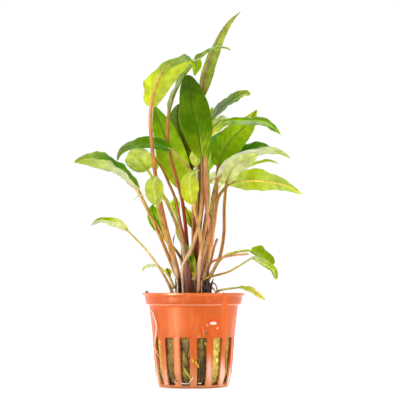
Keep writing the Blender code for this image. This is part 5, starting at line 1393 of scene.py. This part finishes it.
grow_leaf(
    "curled_tip",
    stalk=[(3.3, FOOT, 7.0), (2.9, 77.3, 7.8), (5, 99.1, 5.8), (5.6, 120.6, 4.4), (6.4, 132.3, 4),
           (8.8, 141, 3.4)],
    rib=[(13.1, 146.6, 3.4), (17.4, 150.9, 3.6), (22.3, 154.2, 3.8), (27, 156.7, 4), (30.6, 156.1, 4)],
    left=(3.2, 3.3, 3.5, 3.0), right=(2.2, 3.1, 4.0, 3.8), face=[(-0.2, -0.7, 0.7)], fold=12,
    thick=(0.9, 0.75),
    # Top is greyed by painted highlights mixed into its green, most in the blue-grey second stop.
    top=[(128, 142, 58), (126, 140, 116), (118, 148, 70), (164, 162, 46)],
    under=[(150, 180, 50), (190, 200, 110)],
    vein=(80, 120, 20), bark=[(94, 28, 2), (120, 38, 4), (108, 58, 4)], wave=(0.35, 3.0), seed=30,
    taper=0.5)
grow_leaf(
    "slender_right",
    stalk=[(5.6, FOOT, 6.4), (6.6, 77.6, 8), (9.3, 96.4, 10), (12, 102.8, 8.6), (15.4, 107.7, 6.4),
           (22.7, 114.7, 5.4)],
    rib=[(27.6, 116.6, 5), (32.9, 118.5, 4.6), (39.9, 120.1, 4), (45.7, 118.8, 3)],
    left=(1.9, 2.2, 1.9, 1.3), right=(1.9, 2.1, 1.8, 1.2), face=[(0, -0.5, 0.85)], fold=10,
    thick=(0.8, 0.65),
    top=[(186, 190, 10), (154, 172, 6), (136, 152, 6)], under=[(170, 200, 80), (160, 190, 60)],
    vein=(110, 156, 30), bark=[(144, 78, 58), (142, 78, 58), (216, 246, 130)], wave=(0.25, 2.6), seed=31)
grow_leaf(
    "pale_middle", stalk=[(2.6, FOOT, 9.6), (4.7, 78.3, 10.8), (7.2, 96.3, 12.2), (8.3, 109, 13)],
    rib=[(11.8, 110.7, 12.4), (15, 110.5, 11.4), (17.2, 108.7, 10.4)],
    left=(2.6, 3.2, 2.8, 1.8), right=(3.0, 3.6, 3.2, 2.0), face=[(0, 0.9, 0.4)], fold=10, thick=(0.8, 0.65),
    top=[(120, 165, 40), (120, 165, 40)], under=[(240, 246, 210), (226, 246, 50)],
    vein=(246, 210, 134), bark=[(72, 10, 0), (92, 14, 0), (128, 20, 2)], wave=(0.35, 2.0), seed=32,
    slot="leaf_pale")

# Leaves behind. Darker, shaded blades that fill the back of the plant, each on its own stalk from the
# crown.
grow_leaf(
    "dark_back", stalk=[(-1.2, FOOT, 12.4), (-0.2, 77.6, 16), (-0.2, 99.1, 17.8), (-0.8, 115.8, 19)],
    rib=[(-5, 129.1, 22), (-8.5, 139.3, 26), (-8.6, 147.7, 29), (-7.4, 151.3, 31)],
    left=(5.6, 6.8, 6.4, 4.2), right=(4.4, 5.6, 5.4, 3.8), face=[(0, -1, 0.4)], fold=12, thick=(0.9, 0.75),
    top=[(90, 92, 24), (80, 100, 10), (90, 120, 56)], under=[(130, 160, 60), (130, 160, 60)],
    vein=(82, 16, 0), bark=[(60, 30, 10), (72, 34, 10), (70, 44, 14)], wave=(0.35, 3.0), seed=33)
grow_leaf(
    "behind_arch",
    stalk=[(1.8, FOOT, 12.2), (3.2, 77.6, 14.6), (5, 109.9, 17.8), (6.6, 128.7, 20), (8.8, 135.2, 21)],
    rib=[(12.5, 140.1, 23), (17, 142.3, 25.4), (21.5, 140.9, 28), (23.8, 139, 30)],
    left=(3.0, 3.8, 3.8, 2.6), face=[(0, -0.6, 0.8)], fold=10, thick=(0.85, 0.7),
    top=[(160, 170, 98), (120, 132, 52)], under=[(196, 212, 140), (186, 206, 120)],
    vein=(120, 140, 40), bark=[(70, 32, 12), (92, 44, 14), (110, 90, 30)], wave=(0.3, 2.5), seed=34)
grow_leaf(
    "dark_right",
    stalk=[(4.9, FOOT, 9.2), (7, 77.6, 11.6), (10, 99.1, 14), (12.5, 110.4, 15.6), (14.7, 115.9, 16)],
    rib=[(20.6, 121.8, 17), (28.7, 126.0, 17.6), (35.9, 128.2, 18), (42.2, 127, 18)],
    left=(3.4, 4.2, 4.0, 2.8), right=(3.8, 4.6, 4.4, 3.0), face=[(0, -0.7, 0.7)], fold=10,
    thick=(0.9, 0.75),
    top=[(32, 100, 4), (34, 90, 4), (84, 122, 20)], under=[(150, 180, 50), (150, 180, 50)],
    vein=(70, 120, 20), bark=[(84, 40, 14), (110, 56, 20), (120, 80, 20)], wave=(0.35, 3.0), seed=35)
grow_leaf(
    "small_back", stalk=[(-3.8, FOOT, 9.4), (-5.5, 78.5, 12.4), (-8.6, 91.5, 14)],
    rib=[(-9.8, 96, 15), (-9.8, 101.5, 16.6)],
    left=(2.0, 2.4, 2.0, 1.2), right=(2.0, 2.6, 2.2, 1.3), face=[(0, -1, 0.3)], fold=12, thick=(0.8, 0.65),
    top=[(242, 246, 48), (180, 236, 34)], under=[(150, 180, 30), (150, 180, 30)],
    vein=(100, 130, 20), bark=[(96, 40, 14), (120, 50, 18), (120, 90, 20)], wave=(0.25, 2.0), seed=36)
grow_leaf(
    "narrow_back", stalk=[(-0.6, FOOT, 7.4), (-0.3, 76.5, 9.6), (-0.6, 84.5, 10.6)],
    rib=[(-2.2, 89.5, 11.8), (-4.6, 95.6, 13.2)],
    left=(2.0, 2.4, 2.0, 1.2), face=[(0, -1, 0.3)], fold=14, thick=(0.8, 0.65),
    top=[(176, 198, 32), (202, 218, 50), (246, 246, 74)], under=[(150, 180, 30), (150, 180, 30)],
    vein=(90, 96, 20), bark=[(88, 34, 12), (110, 40, 16), (110, 90, 20)], wave=(0.2, 2.0), seed=37)
grow_leaf(
    "tall_back",
    stalk=[(-1.4, FOOT, 10.0), (0.6, 77.5, 12.8), (1.5, 90.5, 14), (2.6, 109.9, 15), (3.5, 124.5, 16)],
    rib=[(5.5, 135.5, 18), (8, 143.5, 20), (10.2, 149.3, 22)],
    left=(3.4, 4.2, 3.8, 2.4), face=[(0, -1, 0.35)], fold=12, thick=(0.85, 0.7),
    top=[(120, 162, 36), (148, 180, 54), (204, 220, 44)], under=[(150, 180, 30), (150, 180, 30)],
    vein=(90, 110, 20), bark=[(64, 30, 10), (84, 38, 12), (96, 70, 16)], wave=(0.3, 2.5), seed=38)
